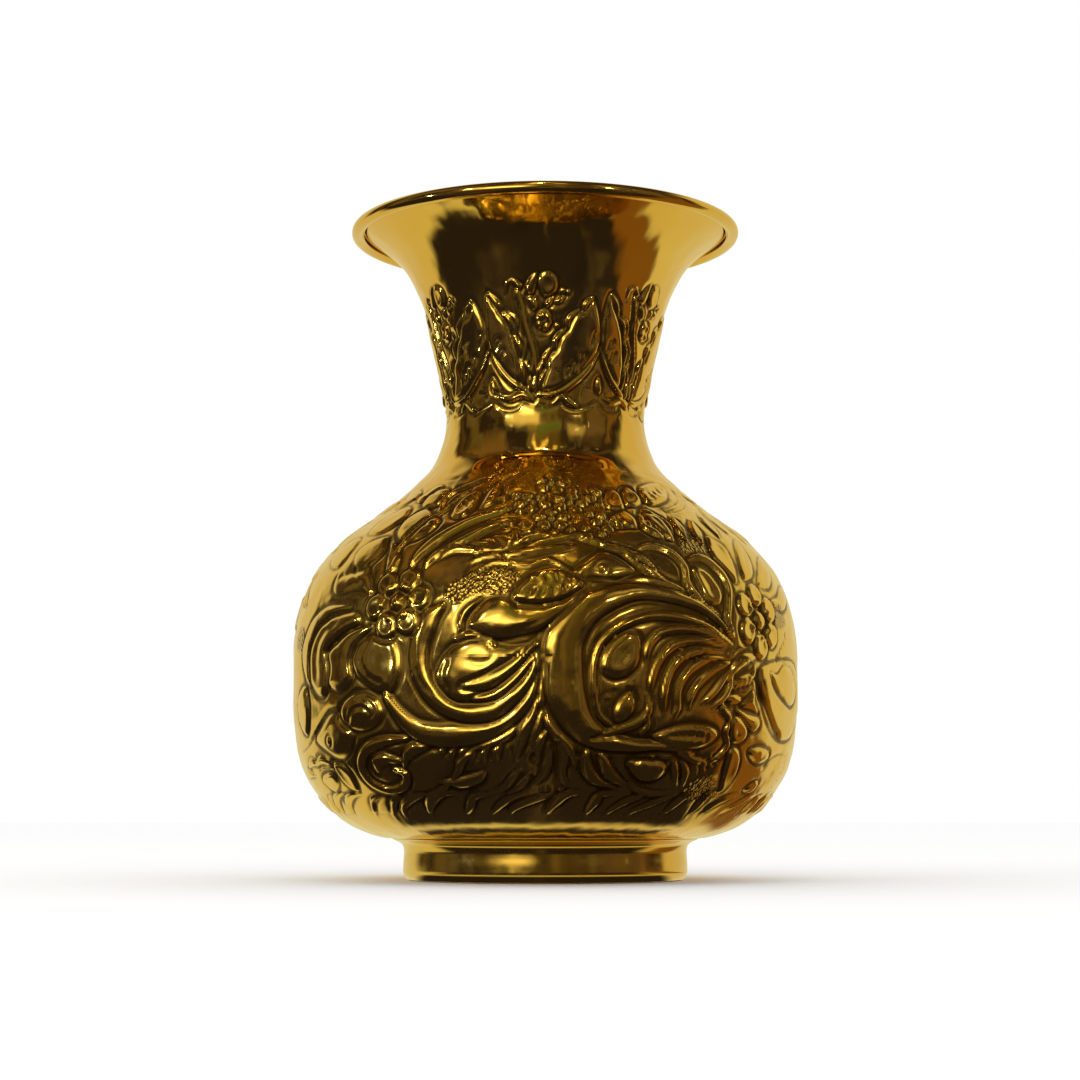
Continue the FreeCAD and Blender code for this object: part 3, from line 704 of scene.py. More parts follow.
def collar_leaves(sheet):
    """Ovals, petals and long leaves in the ring of ornament under the neck."""
    sheet.band([(34.2, 147.3), (42.5, 148.2), (51.3, 147.2), (60.3, 144.7), (55.5, 139.6),
                (47.5, 136.4), (40, 134.6)], wide=[1, 2.6, 3, 3, 2.6, 2.4, 1], high=1.4)
    sheet.patch([(37.6, 143.5), (50, 146.2), (53.6, 143.9), (46.1, 139), (36.5, 136.6),
                 (34.5, 139.1)], high=1.5, edge=2.6, dish=0.5)
    sheet.hatch([(38.5, 139.6), (44, 141.6), (50, 143.8)], 4, 3.4, lean=60, wide=1.2, deep=0.4)
    for x, z, top, lean in ((38, 122, 133, 2), (43, 121, 132, 4), (52, 124, 136, 6),
                            (60, 126, 139, 6), (68, 124, 137, 6), (76, 125, 139, 6),
                            (84, 121, 134, 5), (66, 139, 147, 7), (78, 141, 147.6, 8)):
        sheet.band([(x, z), (x + lean * 0.3, (z + top) / 2), (x + lean, top)],
                   wide=[1, 6.5, 1], high=1.5)
        sheet.line([(x + 0.3, z + 2), (x + lean * 0.3, (z + top) / 2), (x + lean * 0.8, top - 2)],
                   wide=1.0, deep=0.35)
    sheet.band([(-33.6, 132.9), (-35.9, 138.6), (-33.5, 141.8), (-26.8, 144.7), (-19.9, 147)],
               wide=[1, 2.6, 3, 2.6, 1], high=1.4)
    for points in ([(-50.9, 148), (-42.2, 146.8), (-36.7, 147.3)],
                   [(-34.6, 149), (-30.6, 147.8), (-22.6, 147.9)],
                   [(-64, 146), (-57, 144.4), (-51, 141)], [(-80, 147), (-72, 146), (-66, 143)],
                   [(2, 148), (10, 146.4), (19, 147.6)], [(-17, 144), (-12, 147), (-5, 148.4)]):
        sheet.line(points, wide=1.6, deep=0.8)
    for x, z, w in ((-46, 141.6, 5.4), (-57, 140.4, 4.6), (-69, 140, 5), (-80, 139.4, 5)):
        sheet.patch([(x - w, z - 1.6), (x - 1, z - 3.4), (x + w, z - 0.6), (x + w - 2, z + 2.6),
                     (x - 1, z + 3.4), (x - w + 1, z + 1.6)], high=1.4, edge=2.6)
    for x, z in ((-77, 128), (-84, 118), (-77, 108), (-86, 100)):
        sheet.band([(x + 6, z - 7), (x + 1, z - 2.5), (x, z + 2), (x + 3, z + 7)],
                   wide=[1, 5.5, 6, 1], high=1.5)
        sheet.line([(x + 4.6, z - 5), (x + 1, z - 1.5), (x + 0.6, z + 3)], wide=1.1, deep=0.4)


def grounds(sheet):
    """Punched matting in the gaps of the ornament."""
    for border in (
            [(-22, 101), (-20, 106), (-12, 110.6), (-7, 110), (-5.6, 104), (-9, 100.4),
             (-15, 100.6), (-19, 97)],
            [(35, 117.6), (36.6, 124), (41.6, 126.4), (44.6, 122.6), (43.6, 117.6)],
            [(34, 29.6), (35, 35), (39, 37), (43, 34.4), (44, 29)],
            [(62, 92), (63, 99), (67, 101), (69, 94)],
            [(-75, 86), (-73, 93), (-69, 92), (-70, 84)]):
        sheet.patch(border, mat=True)


def low_border(sheet):
    """Small leaves that lean one way round the foot of the ornament, over a chased line."""
    for x in np.arange(-90, 89, 7.5):
        a, b = 2.0 * math.sin(1.9 * x), 1.3 * math.sin(2.7 * x + 1)
        sheet.band([(x + a, 23.6), (x + 2 + a, 26.6 + b), (x + 5.4, 29.4 + b), (x + 10, 30.6)],
                   wide=[0.8, 3.4 + b, 3.2, 0.8], high=1.1, sink=0.45)
    for x in range(-90, 90, 15):
        b = 0.8 * math.sin(1.3 * x)
        sheet.line([(x - 0.5, 24.4), (x + 5, 23.4 + b), (x + 10, 24.0), (x + 15.5, 24.4)],
                   wide=1.2, deep=0.3)


def chase_body(sheet):
    """All of the body's ornament, from the ground up."""
    for draw in (low_border, collar_leaves, arches, left_flower_leaves, upper_left_leaves, posy,
                 low_scrolls, great_lobe, right_leaves, acanthus, wheel, great_stem, left_scroll,
                 upper_leaf, grounds):
        draw(sheet)
    sheet.flower((-34, 98.6), 6, 9.2, 5.3, lean=8, boss=3.0)
    sheet.flower((54.6, 94), 6, 9.6, 5.2, lean=88, boss=4.0)


# ---------------------------------------------------------------- the neck's ornament

def chase_neck(sheet):
    """A spray of two broad leaves, a wavy stem and a flower, over a wavy collar line."""
    left = [(-9, 179.6), (-13.5, 181.6), (-13, 187), (-13.6, 191.6), (-15.4, 197), (-17.6, 202),
            (-20.6, 207), (-24, 211), (-28.6, 216.4), (-31, 208), (-31.6, 198), (-27, 189.6),
            (-20, 183.6), (-13, 180.2)]
    right = [(-3.4, 179), (4, 178.8), (12, 181), (19, 185), (27, 191.6), (29.4, 200),
             (27, 208), (22.6, 214), (18.6, 209.4), (14, 207.6), (10.6, 202), (7.4, 199.6),
             (5.4, 195), (1.4, 192), (-0.4, 187.4), (-3, 183)]
    for border in (left, right):
        sheet.patch(border, high=1.0, edge=3.0, sink=0.35)
    sheet.band([(-6, 177.6), (-12, 180), (-20, 184), (-26, 189.4), (-30.6, 196)],
               wide=[1.5, 2.6, 2.8, 2.4, 1], high=1.3, sink=0.5)
    sheet.band([(-4.4, 178.6), (2, 178.2), (9, 179.6), (17, 183.6), (24, 188.6), (29, 194.6)],
               wide=[1.5, 2.4, 2.8, 2.8, 2.4, 1], high=1.3, sink=0.5)
    for points in ([(-12.6, 182.4), (-12.4, 187), (-13.2, 192)],
                   [(-13.2, 192), (-13.6, 196), (-16, 200.6)],
                   [(-16, 200.6), (-17.6, 205.4), (-22, 208.4)],
                   [(-22, 208.4), (-23.6, 212), (-27.4, 215.6)]):
        sheet.band(points, wide=[1, 2.4, 1.4], high=1.4, sink=0.5)
    for points in ([(-9.4, 181), (-7.8, 186), (-11.6, 191)],
                   [(-11.4, 191.4), (-10.2, 196.6), (-14, 201)],
                   [(-14.6, 200.6), (-14.6, 205.6), (-19.6, 208.8)]):
        sheet.band(points, wide=[1, 1.8, 0.8], high=1.1, sink=0.4)
    for points in ([(-3, 179.6), (-2.4, 184), (0.8, 187.6)],
                   [(0.6, 187.6), (-0.2, 191.6), (3.4, 195.4)],
                   [(5, 194.6), (5.6, 198.6), (10.4, 202)], [(11, 202), (11.8, 206), (16.4, 209.2)],
                   [(18.4, 208.6), (19.6, 211.6), (22.8, 214)]):
        sheet.band(points, wide=[1, 2.4, 1], high=1.4, sink=0.5)
    for points in ([(11.4, 185.4), (12.4, 188)], [(14.2, 185.8), (15.2, 190)],
                   [(18.4, 188.4), (20.4, 193)], [(-24.4, 191.4), (-22.6, 194.6)],
                   [(-26.6, 195.4), (-24.6, 198.6)], [(24, 197), (26, 201)]):
        sheet.band(points, wide=[1.0, 1.8], high=1.3, on=0.2, sink=0.4)
    sheet.band([(-6.6, 181.6), (-5.8, 187), (-6.4, 193), (-8.4, 198.6), (-10.4, 204),
                (-11.4, 210), (-13, 215), (-12, 217.6)],
               wide=[1.2, 2.2, 2.2, 2.2, 2.4, 2.2, 2.0, 2.6], high=1.4, sink=0.5)
    sheet.band([(-12, 217.4), (-14.6, 219.4), (-17.6, 218.6), (-18.6, 215.4)],
               wide=[2.4, 1.8, 1.8, 1.2], high=1.3, sink=0.45)
    sheet.band([(-5.6, 182), (-3.6, 187), (-1.4, 190)], wide=[1, 2, 1], high=1.1)
    for x in (-8.2, -5.6):
        sheet.patch([(x - 1.4, 179.6), (x - 1.2, 184), (x, 185.4), (x + 1.2, 184),
                     (x + 1, 179.6)], high=1.1, edge=1.4, sink=0.45)
    sheet.patch([(-9.6, 215.4), (-7.8, 220), (-3.4, 222.4), (-3.6, 217.6), (-6.4, 214)],
                high=1.3, edge=1.8, dish=0.4)
    sheet.patch([(-3.6, 217), (-2.4, 221.4), (1.6, 222.6), (5.2, 220.4), (5.8, 216.6),
                 (3.4, 213.8), (-1, 213.4)], high=1.4, edge=2.4, dish=0.5)
    sheet.patch([(-8.4, 214), (-5, 213.2), (-3.6, 210), (-5.8, 208.4), (-8, 210.6)], high=1.2,
                edge=1.6)
    sheet.patch([(0, 209.4), (0.8, 212.4), (4.4, 214), (3.4, 211)], high=1.2, edge=1.4)
    sheet.patch([(3.6, 211), (5.6, 213.2), (9.4, 214.2), (7.4, 211.2)], high=1.2, edge=1.4)
    for place in ((8.2, 215.6), (10.4, 215.2)):
        sheet.bead(place, radius=1.1, high=0.9, sink=0.3)
    sheet.patch([(-5, 205), (-3, 208.4), (0.6, 209), (3, 206.6), (3.2, 203), (0.6, 201),
                 (-3, 201.4)], high=1.2, edge=1.8, dish=0.4)
    for place in ((-3.4, 203.4), (0.8, 202.6), (1.4, 206.4), (-1.8, 206.6), (5.6, 203)):
        sheet.bead(place, radius=1.3, high=0.6, sink=0.4)
    sheet.patch([(-31.6, 184), (-29.4, 185.6), (-27, 182), (-27.6, 179.6), (-31, 180)],
                high=1.3, edge=1.6)
    sheet.line([(-30, 176.4), (-24, 173.6), (-17, 173.4), (-12, 176), (-8, 174.6)], wide=1.6,
               deep=0.45)
    sheet.band([(-27, 178.4), (-20, 177), (-13, 178.4), (-7, 176.4)], wide=[1, 2.6, 3, 1.5],
               high=1.0)
    sheet.band([(4, 175), (9, 177.6), (13.4, 175.4), (18, 174)], wide=[1, 2.4, 2.4, 1], high=0.9)
    sheet.line([(-7, 174.6), (0, 173.4), (8, 174.4), (16, 173), (24, 174.4), (30, 176.4)],
               wide=1.4, deep=0.4)


# ---------------------------------------------------------------- turned walls

def rows_on(outline, s, depth=0.0):
    """Section rows at distances s along an outline, depth mm inside it, and their lift."""
    s = np.asarray(s, float)
    r, z, out_r, out_z = outline.at(s)
    return np.stack([r - out_r * depth, z - out_z * depth, out_r, out_z, s], 1)


def plain_rows(points):
    """Section rows at (radius, height) points that no ornament lifts."""
    p = np.asarray(points, float)
    return np.concatenate([p, np.zeros((len(p), 3))], 1)


def seam_rows(outline, s):
    """The top edge of a sheet and its collar, which is lapped under the sheet above.

    Inside, the collar's step runs from just above the edge to a little below it.
    """
    deep = WALL + BRAZE_GAP
    above, below = 0.13, 0.87
    return np.concatenate([
        rows_on(outline, [s]), rows_on(outline, [s + SEAM_GROOVE], deep),
        rows_on(outline, [s + SEAM_LAP / 2, s + SEAM_LAP], deep),
        rows_on(outline, [s + SEAM_LAP, s + SEAM_LAP / 2, s + above], deep + WALL),
        rows_on(outline, [s - below], WALL)])


def turned(name, rows, columns, sheet=None, sharp=(), poles=None):
    """A wall turned round the axis from a closed run of section rows.

    A point is at the row's radius and height, moved along the row's outward direction by
    the sheet's height there: x = r sin a, y = -r cos a.  Poles, two heights, close a run
    that starts and ends at the axis; otherwise the last row joins the first.
    """
    a = np.arange(columns) * 2 * math.pi / columns
    lift = sheet.rows_at(sheet.height, rows[:, 4]) if sheet else np.zeros((len(rows), 1))
    lift = lift * (np.abs(rows[:, 2:4]).sum(1) > 0)[:, None]
    r = rows[:, :1] + rows[:, 2:3] * lift
    z = rows[:, 1:2] + rows[:, 3:4] * lift + 0 * a
    points = np.stack([r * np.sin(a), -r * np.cos(a), z], -1).reshape(-1, 3)
    count = len(rows)
    k = np.arange(count if poles is None else count - 1)[:, None]
    j = np.arange(columns)[None, :]
    after = (j + 1) % columns
    up = (k + 1) % count
    quads = np.stack([k * columns + j, k * columns + after, up * columns + after,
                      up * columns + j], -1).reshape(-1, 4)
    faces = quads.tolist()
    if poles is not None:
        points = np.concatenate([points, [[0, 0, poles[0]], [0, 0, poles[1]]]])
        j, after = j[0], after[0]
        first, last = count * columns, count * columns + 1
        bottom = np.stack([0 * j + first, after, j], 1)
        top = np.stack([(count - 1) * columns + j, (count - 1) * columns + after, 0 * j + last],
                       1)
        faces += bottom.tolist() + top.tolist()
    mesh = bpy.data.meshes.new(name)
    mesh.from_pydata((points * MM).tolist(), [], faces)
    mesh.shade_smooth()
    ends = np.zeros(len(mesh.edges) * 2, int)
    mesh.edges.foreach_get("vertices", ends)
    row = (ends // columns).reshape(-1, 2)
    creased = (row[:, 0] == row[:, 1]) & np.isin(row[:, 0], list(sharp))
    mesh.attributes.new("sharp_edge", "BOOLEAN", "EDGE").data.foreach_set("value", creased)
    for label in ("hollow", "matted"):
        values = np.zeros(len(points))
        if sheet:
            field = sheet.rows_at(getattr(sheet, label), rows[:, 4])
            field = field * (np.abs(rows[:, 2:4]).sum(1) > 0)[:, None]
            values[:count * columns] = field.ravel()
        mesh.attributes.new(label, "FLOAT", "POINT").data.foreach_set("value", values)
    mesh.validate()
    made = bpy.data.objects.new(name, mesh)
    bpy.context.scene.collection.objects.link(made)
    return made


def corner_rows(rows, turned_by=25.0):
    """Which rows of a closed run stand at a corner sharper than turned_by degrees."""
    p = rows[:, :2]
    before, after = p - np.roll(p, 1, 0), np.roll(p, -1, 0) - p
    across = before[:, 0] * after[:, 1] - before[:, 1] * after[:, 0]
    bend = np.degrees(np.abs(np.arctan2(across, (before * after).sum(1))))
    return np.nonzero(bend > turned_by)[0].tolist()


def steps(start, end, spacing):
    """Evenly spaced distances from start to end, both kept, about spacing apart."""
    return np.linspace(start, end, max(2, round(abs(end - start) / spacing) + 1))


def arc_points(centre, radius, start, end, count):
    """Points on a circle from one angle to another, in degrees."""
    a = np.radians(np.linspace(start, end, count))
    return np.stack([centre[0] + radius * np.cos(a), centre[1] + radius * np.sin(a)], 1)


def box_mm(node):
    """Widest radius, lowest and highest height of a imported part, in millimetres."""
    low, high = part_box(node)
    return high.x / MM, low.z / MM, high.z / MM


# ---------------------------------------------------------------- the pot's outlines

def body_outline():
    """Underside, bowl, belt and shoulder as one outline, and where the seams are on it."""
    foot_radius = box_mm("foot_braze")[0]
    belt = box_mm("belt_braze")[1]
    seam = box_mm("neck")[1]
    seam_radius = box_mm("neck_braze")[0]
    low = box_mm("belly")[1]
    under = [(r, low) for r in (12, 22, 34, 46, foot_radius)]
    bowl = read_outline("belly", low + 0.2, belt + 0.01)
    shoulder = read_outline("shoulder", belt + 0.9, seam - 2.0)
    lean = math.sqrt(0.5)
    past = [(seam_radius - lean * d, seam + lean * d) for d in (0, 2.5, 5, 7.5)]
    outline = Outline(np.concatenate([under, bowl, shoulder, past]))
    return outline, outline.distance_at(belt), outline.distance_at(seam)


def neck_outline():
    """Straight seam, root and trumpet as one outline that ends at the rolled rim."""
    seam = box_mm("neck")[1]
    seam_radius = box_mm("neck_braze")[0]
    wire_radius, wire_low, wire_high = box_mm("rim_wire")
    wire = (wire_high - wire_low) / 2
    centre = (wire_radius - wire, (wire_high + wire_low) / 2)
    lean = math.sqrt(0.5)
    start = [(seam_radius + lean * d, seam - lean * d) for d in (2, 0, -2)]
    wall = read_outline("neck", seam + 2.6, wire_low, wire_radius - 5)
    end = arc_points(centre, wire + 0.05, 127, 127, 1)
    return Outline(np.concatenate([start, wall, end])), seam, centre, wire


# ---------------------------------------------------------------- the pot's pieces

def body_sheet(outline, seam, top):
    """The body's ornament, chased and settled on its outline.

    It is calmer high up at the sides, towards the half turn's ends and near the neck, and
    fades out at the foot and at the neck's seam.
    """
    start = outline.distance_at(BODY_CHASED_FROM + 1)
    s = np.concatenate([steps(0, start, 3.0)[:-1], steps(start, outline.s[-1], 0.72)])
    sheet = Sheet(outline, s, BODY_COLUMNS, BODY_REPEATS)
    rng = np.random.default_rng(BODY_SEED)
    chase_body(sheet)
    z = outline.at(s)[1]
    aside = np.degrees(np.abs((sheet.turn + math.pi / 2) % math.pi - math.pi / 2))
    calm = 1 - 0.55 * ease(aside, 36, 56)[None, :] * ease(z, 96, 116)[:, None]
    calm = calm * (1 - 0.3 * ease(aside, 62, 76))[None, :]
    weight = ease(z, BODY_CHASED_FROM, 27) * (1 - 0.4 * ease(s, seam - 14, seam - 6))
    weight = (weight * (1 - ease(s, seam - 6, seam - 0.4)))[:, None] * calm
    sunk = (ease(z, BODY_CHASED_FROM, 34) * (1 - ease(s, seam - 26, seam - 6)))[:, None] * calm
    fade = ease(outline.at(s)[0], box_mm("foot_braze")[0] + 1, 66) * (s < seam - 10)
    fade = np.where(s > seam - 14, 1 - ease(s, seam - 12, seam - 1), fade)
    sheet.settle(top, weight, sunk, fade, rng, ((0.07, 9, 30), (0.02, 3, 8)), BODY_COLUMNS)
    sheet.height += planished_seam(s - seam, BODY_COLUMNS)
    return sheet


def neck_sheet(outline, seam, top):
    """The neck's ornament, chased and settled on its outline."""
    low, high = (outline.distance_at(height) for height in NECK_CHASED)
    s = np.concatenate([steps(0, low, 1.2)[:-1], steps(low, high, 0.6),
                        steps(high, outline.s[-1], 1.2)[1:]])
    sheet = Sheet(outline, s, NECK_COLUMNS, NECK_REPEATS)
    rng = np.random.default_rng(NECK_SEED)
    chase_neck(sheet)
    z = outline.at(s)[1]
    weight = ease(z, 160, 170) * (1 - ease(z, 216, 229))
    fade = ease(z, seam + 3.6, seam + 9) * (1 - ease(s, outline.s[-1] - 8, outline.s[-1] - 1))
    weight = weight[:, None] + 0 * sheet.turn
    sheet.settle(top, weight, 0.4 * weight, fade, rng, ((0.06, 8, 26), (0.012, 3, 7)),
                 NECK_COLUMNS)
    sheet.height += planished_seam(s - outline.distance_at(seam), NECK_COLUMNS)
    return sheet


def planished_seam(above, columns):
    """Hammered waviness across the neck's seam, the same on both of its walls.

    A sum of waves of random direction, 4 to 16 mm long, that dies out with the square of
    the distance from the seam: exp(-(distance / SEAM_WAVE_FADE)^2).
    """
    rng = np.random.default_rng(SEAM_SEED)
    turn = np.arange(columns) * 2 * math.pi / columns
    radius = box_mm("neck_braze")[0]
    total = np.zeros((len(above), columns))
    for _ in range(WAVES):
        length, angle, phase = rng.uniform(4, 16), rng.uniform(0, math.pi), rng.uniform(0, 6.28)
        turns = round(2 * math.pi * radius / length * math.cos(angle))
        rise = 2 * math.pi / length * math.sin(angle)
        total += length * np.cos((turn * turns)[None, :] + (above * rise)[:, None] + phase)
    return SEAM_WAVE_HEIGHT * total * np.exp(-(above / SEAM_WAVE_FADE) ** 2)[:, None]


def make_belly(outline, belt, sheet):
    """Flat underside and bowl up to the belt, with the collar that the shoulder covers."""
    low = box_mm("belly")[1]
    start = outline.distance_at(24.0)
    outer = np.concatenate([[0, 12, 24], steps(34, start, 2.3)[:-1],
                            steps(start, belt, 0.76)[:-1]])
    inner = np.concatenate([steps(belt - 3, start, 2.6), steps(start, 34, 4.0)[1:], [20, 0]])
    rows = np.concatenate([rows_on(outline, outer), seam_rows(outline, belt),
                           rows_on(outline, inner, WALL)])
    piece = turned("belly_wall", rows, BODY_COLUMNS, sheet, corner_rows(rows),
                   (low, low + WALL))
    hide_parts("belly")
    return piece


def make_shoulder(outline, belt, seam, sheet):
    """The domed upper half of the body, with the collar that the neck covers."""
    start = belt + SEAM_GROOVE
    rows = np.concatenate([
        rows_on(outline, steps(start, seam, 0.88)[:-1]), seam_rows(outline, seam),
        rows_on(outline, steps(seam - 3, start, 4.0), WALL)])
    piece = turned("shoulder_wall", rows, BODY_COLUMNS, sheet, corner_rows(rows))
    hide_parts("shoulder")
    return piece


def make_braze(node, outline, edge, sheet):
    """Braze that fills the lap between two walls, flush outside and chased over with them."""
    groove, lap, deep = edge + SEAM_GROOVE, edge + SEAM_LAP, WALL + BRAZE_GAP
    rows = np.concatenate([
        rows_on(outline, [edge, groove]), rows_on(outline, [groove, (groove + lap) / 2, lap], WALL),
        rows_on(outline, [lap, (groove + lap) / 2, groove], deep)])
    piece = turned(node + "_ring", rows, BODY_COLUMNS, sheet, corner_rows(rows))
    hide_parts(node)
    return piece


def make_neck(outline, seam, centre, wire, sheet):
    """The waisted neck, flared out and rolled over its rim wire."""
    start = outline.distance_at(seam) + SEAM_GROOVE
    end = outline.s[-1]
    low = outline.distance_at(NECK_CHASED[0] - 0.5)
    high = outline.distance_at(NECK_CHASED[1] + 0.5)
    outer = np.concatenate([steps(start, low, 1.7)[:-1], steps(low, high, 0.64)[:-1],
                            steps(high, end, 1.7)[:-1]])
    inside = arc_points(centre, wire + 0.05, 127, -155, 15)
    outside = arc_points(centre, wire + 0.05 + WALL, -155, 127, 15)
    rows = np.concatenate([
        rows_on(outline, outer), plain_rows(inside), plain_rows(outside),
        rows_on(outline, steps(end - 3, start, 4.2), WALL)])
    piece = turned("neck_wall", rows, NECK_COLUMNS, sheet, corner_rows(rows))
    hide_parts("neck")
    return piece


def make_foot():
    """The foot: a short waisted tube, turned in at the floor and swept out under the bowl.

    A quarter round and a smooth curve outside, and the same one wall further in.
    """
    radius, low, high = box_mm("foot_ring")
    wall, turn_in = 1.4, 3.4
    tube = radius - 4.2
    ledge = high - 1.35
    hole, seat_inside, seat_outside = 45.0, 47.5, 52
    side = spline([(tube, low + 3.6), (tube - 0.1, low + 6.6), (tube - 0.3, low + 9.4),
                   (tube - 0.3, low + 11.4), (tube + 0.3, high - 2.2), (tube + 1.8, high - 1.1),
                   (tube + 3.2, high - 0.5), (radius - 0.3, high - 0.1)], 30)
    outer = np.concatenate([
        [(hole, low), (tube - turn_in - 2.5, low)],
        arc_points((tube - turn_in, low + turn_in), turn_in, -90, 0, 12)[:-1], side,
        [(radius - 0.3, high), (seat_outside, high), (seat_inside, high),
         (seat_inside, ledge), (tube - wall - 2, ledge)]])
    inner = np.concatenate([
        [(tube - wall - 1.3, ledge - 0.7), (tube - wall - 1.1, low + 9.6),
         (tube - wall - 0.4, low + 6.2), (tube - wall, low + 4)],
        arc_points((tube - turn_in, low + turn_in), turn_in - wall, 0, -90, 7),
        [(hole, low + wall)]])
    rows = plain_rows(np.concatenate([outer, inner]))
    piece = turned("foot_tube", rows, PLAIN_COLUMNS, None, corner_rows(rows, 40))
    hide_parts("foot_ring")
    return piece


def make_rim_wire():
    """The round wire inside the rolled rim: a circle carried round the axis."""
    radius, low, high = box_mm("rim_wire")
    wire = (high - low) / 2
    rows = plain_rows(arc_points((radius - wire, (low + high) / 2), wire, -90, 270, 25)[:-1])
    piece = turned("rim_core", rows, PLAIN_COLUMNS)
    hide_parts("rim_wire")
    return piece


# ---------------------------------------------------------------- finishes

def new_material(name):
    """An empty material with its nodes, its links and its shader."""
    material = bpy.data.materials.new(name)
    material.use_nodes = True
    nodes, links = material.node_tree.nodes, material.node_tree.links
    shader = next(n for n in nodes if n.type == "BSDF_PRINCIPLED")
    return material, nodes, links, shader


def add(nodes, kind, **settings):
    """A node whose inputs, or else whose own values, are set by name."""
    node = nodes.new(kind)
    for key, value in settings.items():
        if key in node.inputs:
            node.inputs[key].default_value = value
        else:
            setattr(node, key, value)
    return node


def ramp(nodes, links, source, stops):
    """A smooth colour ramp fed by source; stops are (position, colour) or (position, grey)."""
    node = nodes.new("ShaderNodeValToRGB")
    node.color_ramp.interpolation = "EASE"
    elements = node.color_ramp.elements
    for place, colour in stops[2:]:
        elements.new(place)
    for element, (place, colour) in zip(elements, stops):
        element.position = place
        element.color = (*colour, 1) if len(colour) == 3 else (colour[0],) * 3 + (1,)
    links.new(source, node.inputs["Fac"])
    return node.outputs["Color"]


def mixed(nodes, links, share, one, two):
    """Two colours mixed by share; each may be a socket or a plain colour."""
    node = nodes.new("ShaderNodeMix")
    node.data_type = "RGBA"
    for socket, value in ((node.inputs[0], share), (node.inputs[6], one),
                          (node.inputs[7], two)):
        if hasattr(value, "is_linked"):
            links.new(value, socket)
        elif isinstance(value, (int, float)):
            socket.default_value = value
        else:
            socket.default_value = (*value, 1)
    return node.outputs[2]


def sum_of(nodes, links, operation, one, two):
    """Arithmetic on sockets or numbers."""
    node = nodes.new("ShaderNodeMath")
    node.operation = operation
    for socket, value in zip(node.inputs, (one, two)):
        if hasattr(value, "is_linked"):
            links.new(value, socket)
        else:
            socket.default_value = value
    return node.outputs[0]


def brass(name, finish, polish, tarnish, chased):
    """Polished yellow brass that has browned in its hollows.

    Colour: clean brass, warmer in broad drifts, browned by tarnish where the wall is
    hollow.  Roughness: the polish, worn by fine smears.  Matted grounds are punched with
    small rings.  Bump: a faint planished surface, and the punch marks.
    """
    material, nodes, links, shader = new_material(name)
    place = add(nodes, "ShaderNodeTexCoord").outputs["Object"]
    drift = add(nodes, "ShaderNodeTexNoise", Scale=14.0, Detail=3.0, Roughness=0.55)
    smear = add(nodes, "ShaderNodeTexNoise", Scale=160.0, Detail=4.0, Roughness=0.65)
    links.new(place, drift.inputs["Vector"])
    links.new(place, smear.inputs["Vector"])
    warm = ramp(nodes, links, drift.outputs["Fac"], [(0.38, (0,)), (0.66, (1,))])
    colour = mixed(nodes, links, warm, tuple(finish.clean)[:3], tuple(finish.warm)[:3])
    rough = ramp(nodes, links, smear.outputs["Fac"],
                 [(0.35, (polish,)), (0.75, (polish * 1.8,))])
    height = sum_of(nodes, links, "MULTIPLY", drift.outputs["Fac"], 0.6)
    if chased:
        hollow = add(nodes, "ShaderNodeAttribute", attribute_name="hollow").outputs["Fac"]
        matted = add(nodes, "ShaderNodeAttribute", attribute_name="matted").outputs["Fac"]
        patchy = sum_of(nodes, links, "MULTIPLY", hollow,
                        sum_of(nodes, links, "ADD", smear.outputs["Fac"], 0.5))
        deep = ramp(nodes, links, patchy, [(0.04, (0,)), (0.34, (tarnish,))])
        colour = mixed(nodes, links, deep, colour, tuple(finish.tarnish)[:3])
        rough = mixed(nodes, links, deep, rough, (0.42, 0.42, 0.42))
        rings = add(nodes, "ShaderNodeTexVoronoi", Scale=760.0)
        links.new(place, rings.inputs["Vector"])
        dots = sum_of(nodes, links, "MULTIPLY", rings.outputs["Distance"], matted)
        height = sum_of(nodes, links, "ADD", height, sum_of(nodes, links, "MULTIPLY", dots, 22.0))
        dark = sum_of(nodes, links, "MULTIPLY", matted, 0.45)
        colour = mixed(nodes, links, dark, colour, tuple(finish.tarnish)[:3])
    else:
        colour = mixed(nodes, links, sum_of(nodes, links, "MULTIPLY", smear.outputs["Fac"],
                                            tarnish * 0.5),
                       colour, tuple(finish.tarnish)[:3])
    bump = add(nodes, "ShaderNodeBump", Strength=0.35, Distance=0.00006)
    links.new(height, bump.inputs["Height"])
    links.new(bump.outputs["Normal"], shader.inputs["Normal"])
    links.new(colour, shader.inputs["Base Color"])
    links.new(rough, shader.inputs["Roughness"])
    shader.inputs["Metallic"].default_value = 1.0
    return material


def finish_piece(piece, material):
    """Gives a piece its metal and its slot, and joins it to the one body."""
    piece.data.materials.clear()
    piece.data.materials.append(material)
    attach(piece, "root")


# ---------------------------------------------------------------- the stage

STUDIO_RADIUS = 3.0
FLOOR_REFLECTION_RADIUS = 2.95
# Counts of painted marks: dim spots and sparkles are painted reflections and glints on the dome;
# the patches are faint lighter painted places in the floor's dark reflection
DIM_SPOTS, SPARKLES, DARK_REFLECTION_PATCHES = 150, 16, 60
# Colours that glow in the painted reflections, seen only in the polish: the sparkles' glint, the
# dark front, the bright card, the pale floor, the dark floor in front and a brown strip
SPARKLE = (1.5, 1.5, 1.2)
DARK_FRONT_REFLECTION = (0.032, 0.024, 0.024)
CARD_REFLECTION = (0.79, 0.71, 0.40)
PALE_FLOOR_REFLECTION = (0.80, 0.75, 0.44)
DARK_FLOOR_REFLECTION = (0.026, 0.021, 0.028)
BROWN_STRIP_REFLECTION = (0.25, 0.125, 0.03)
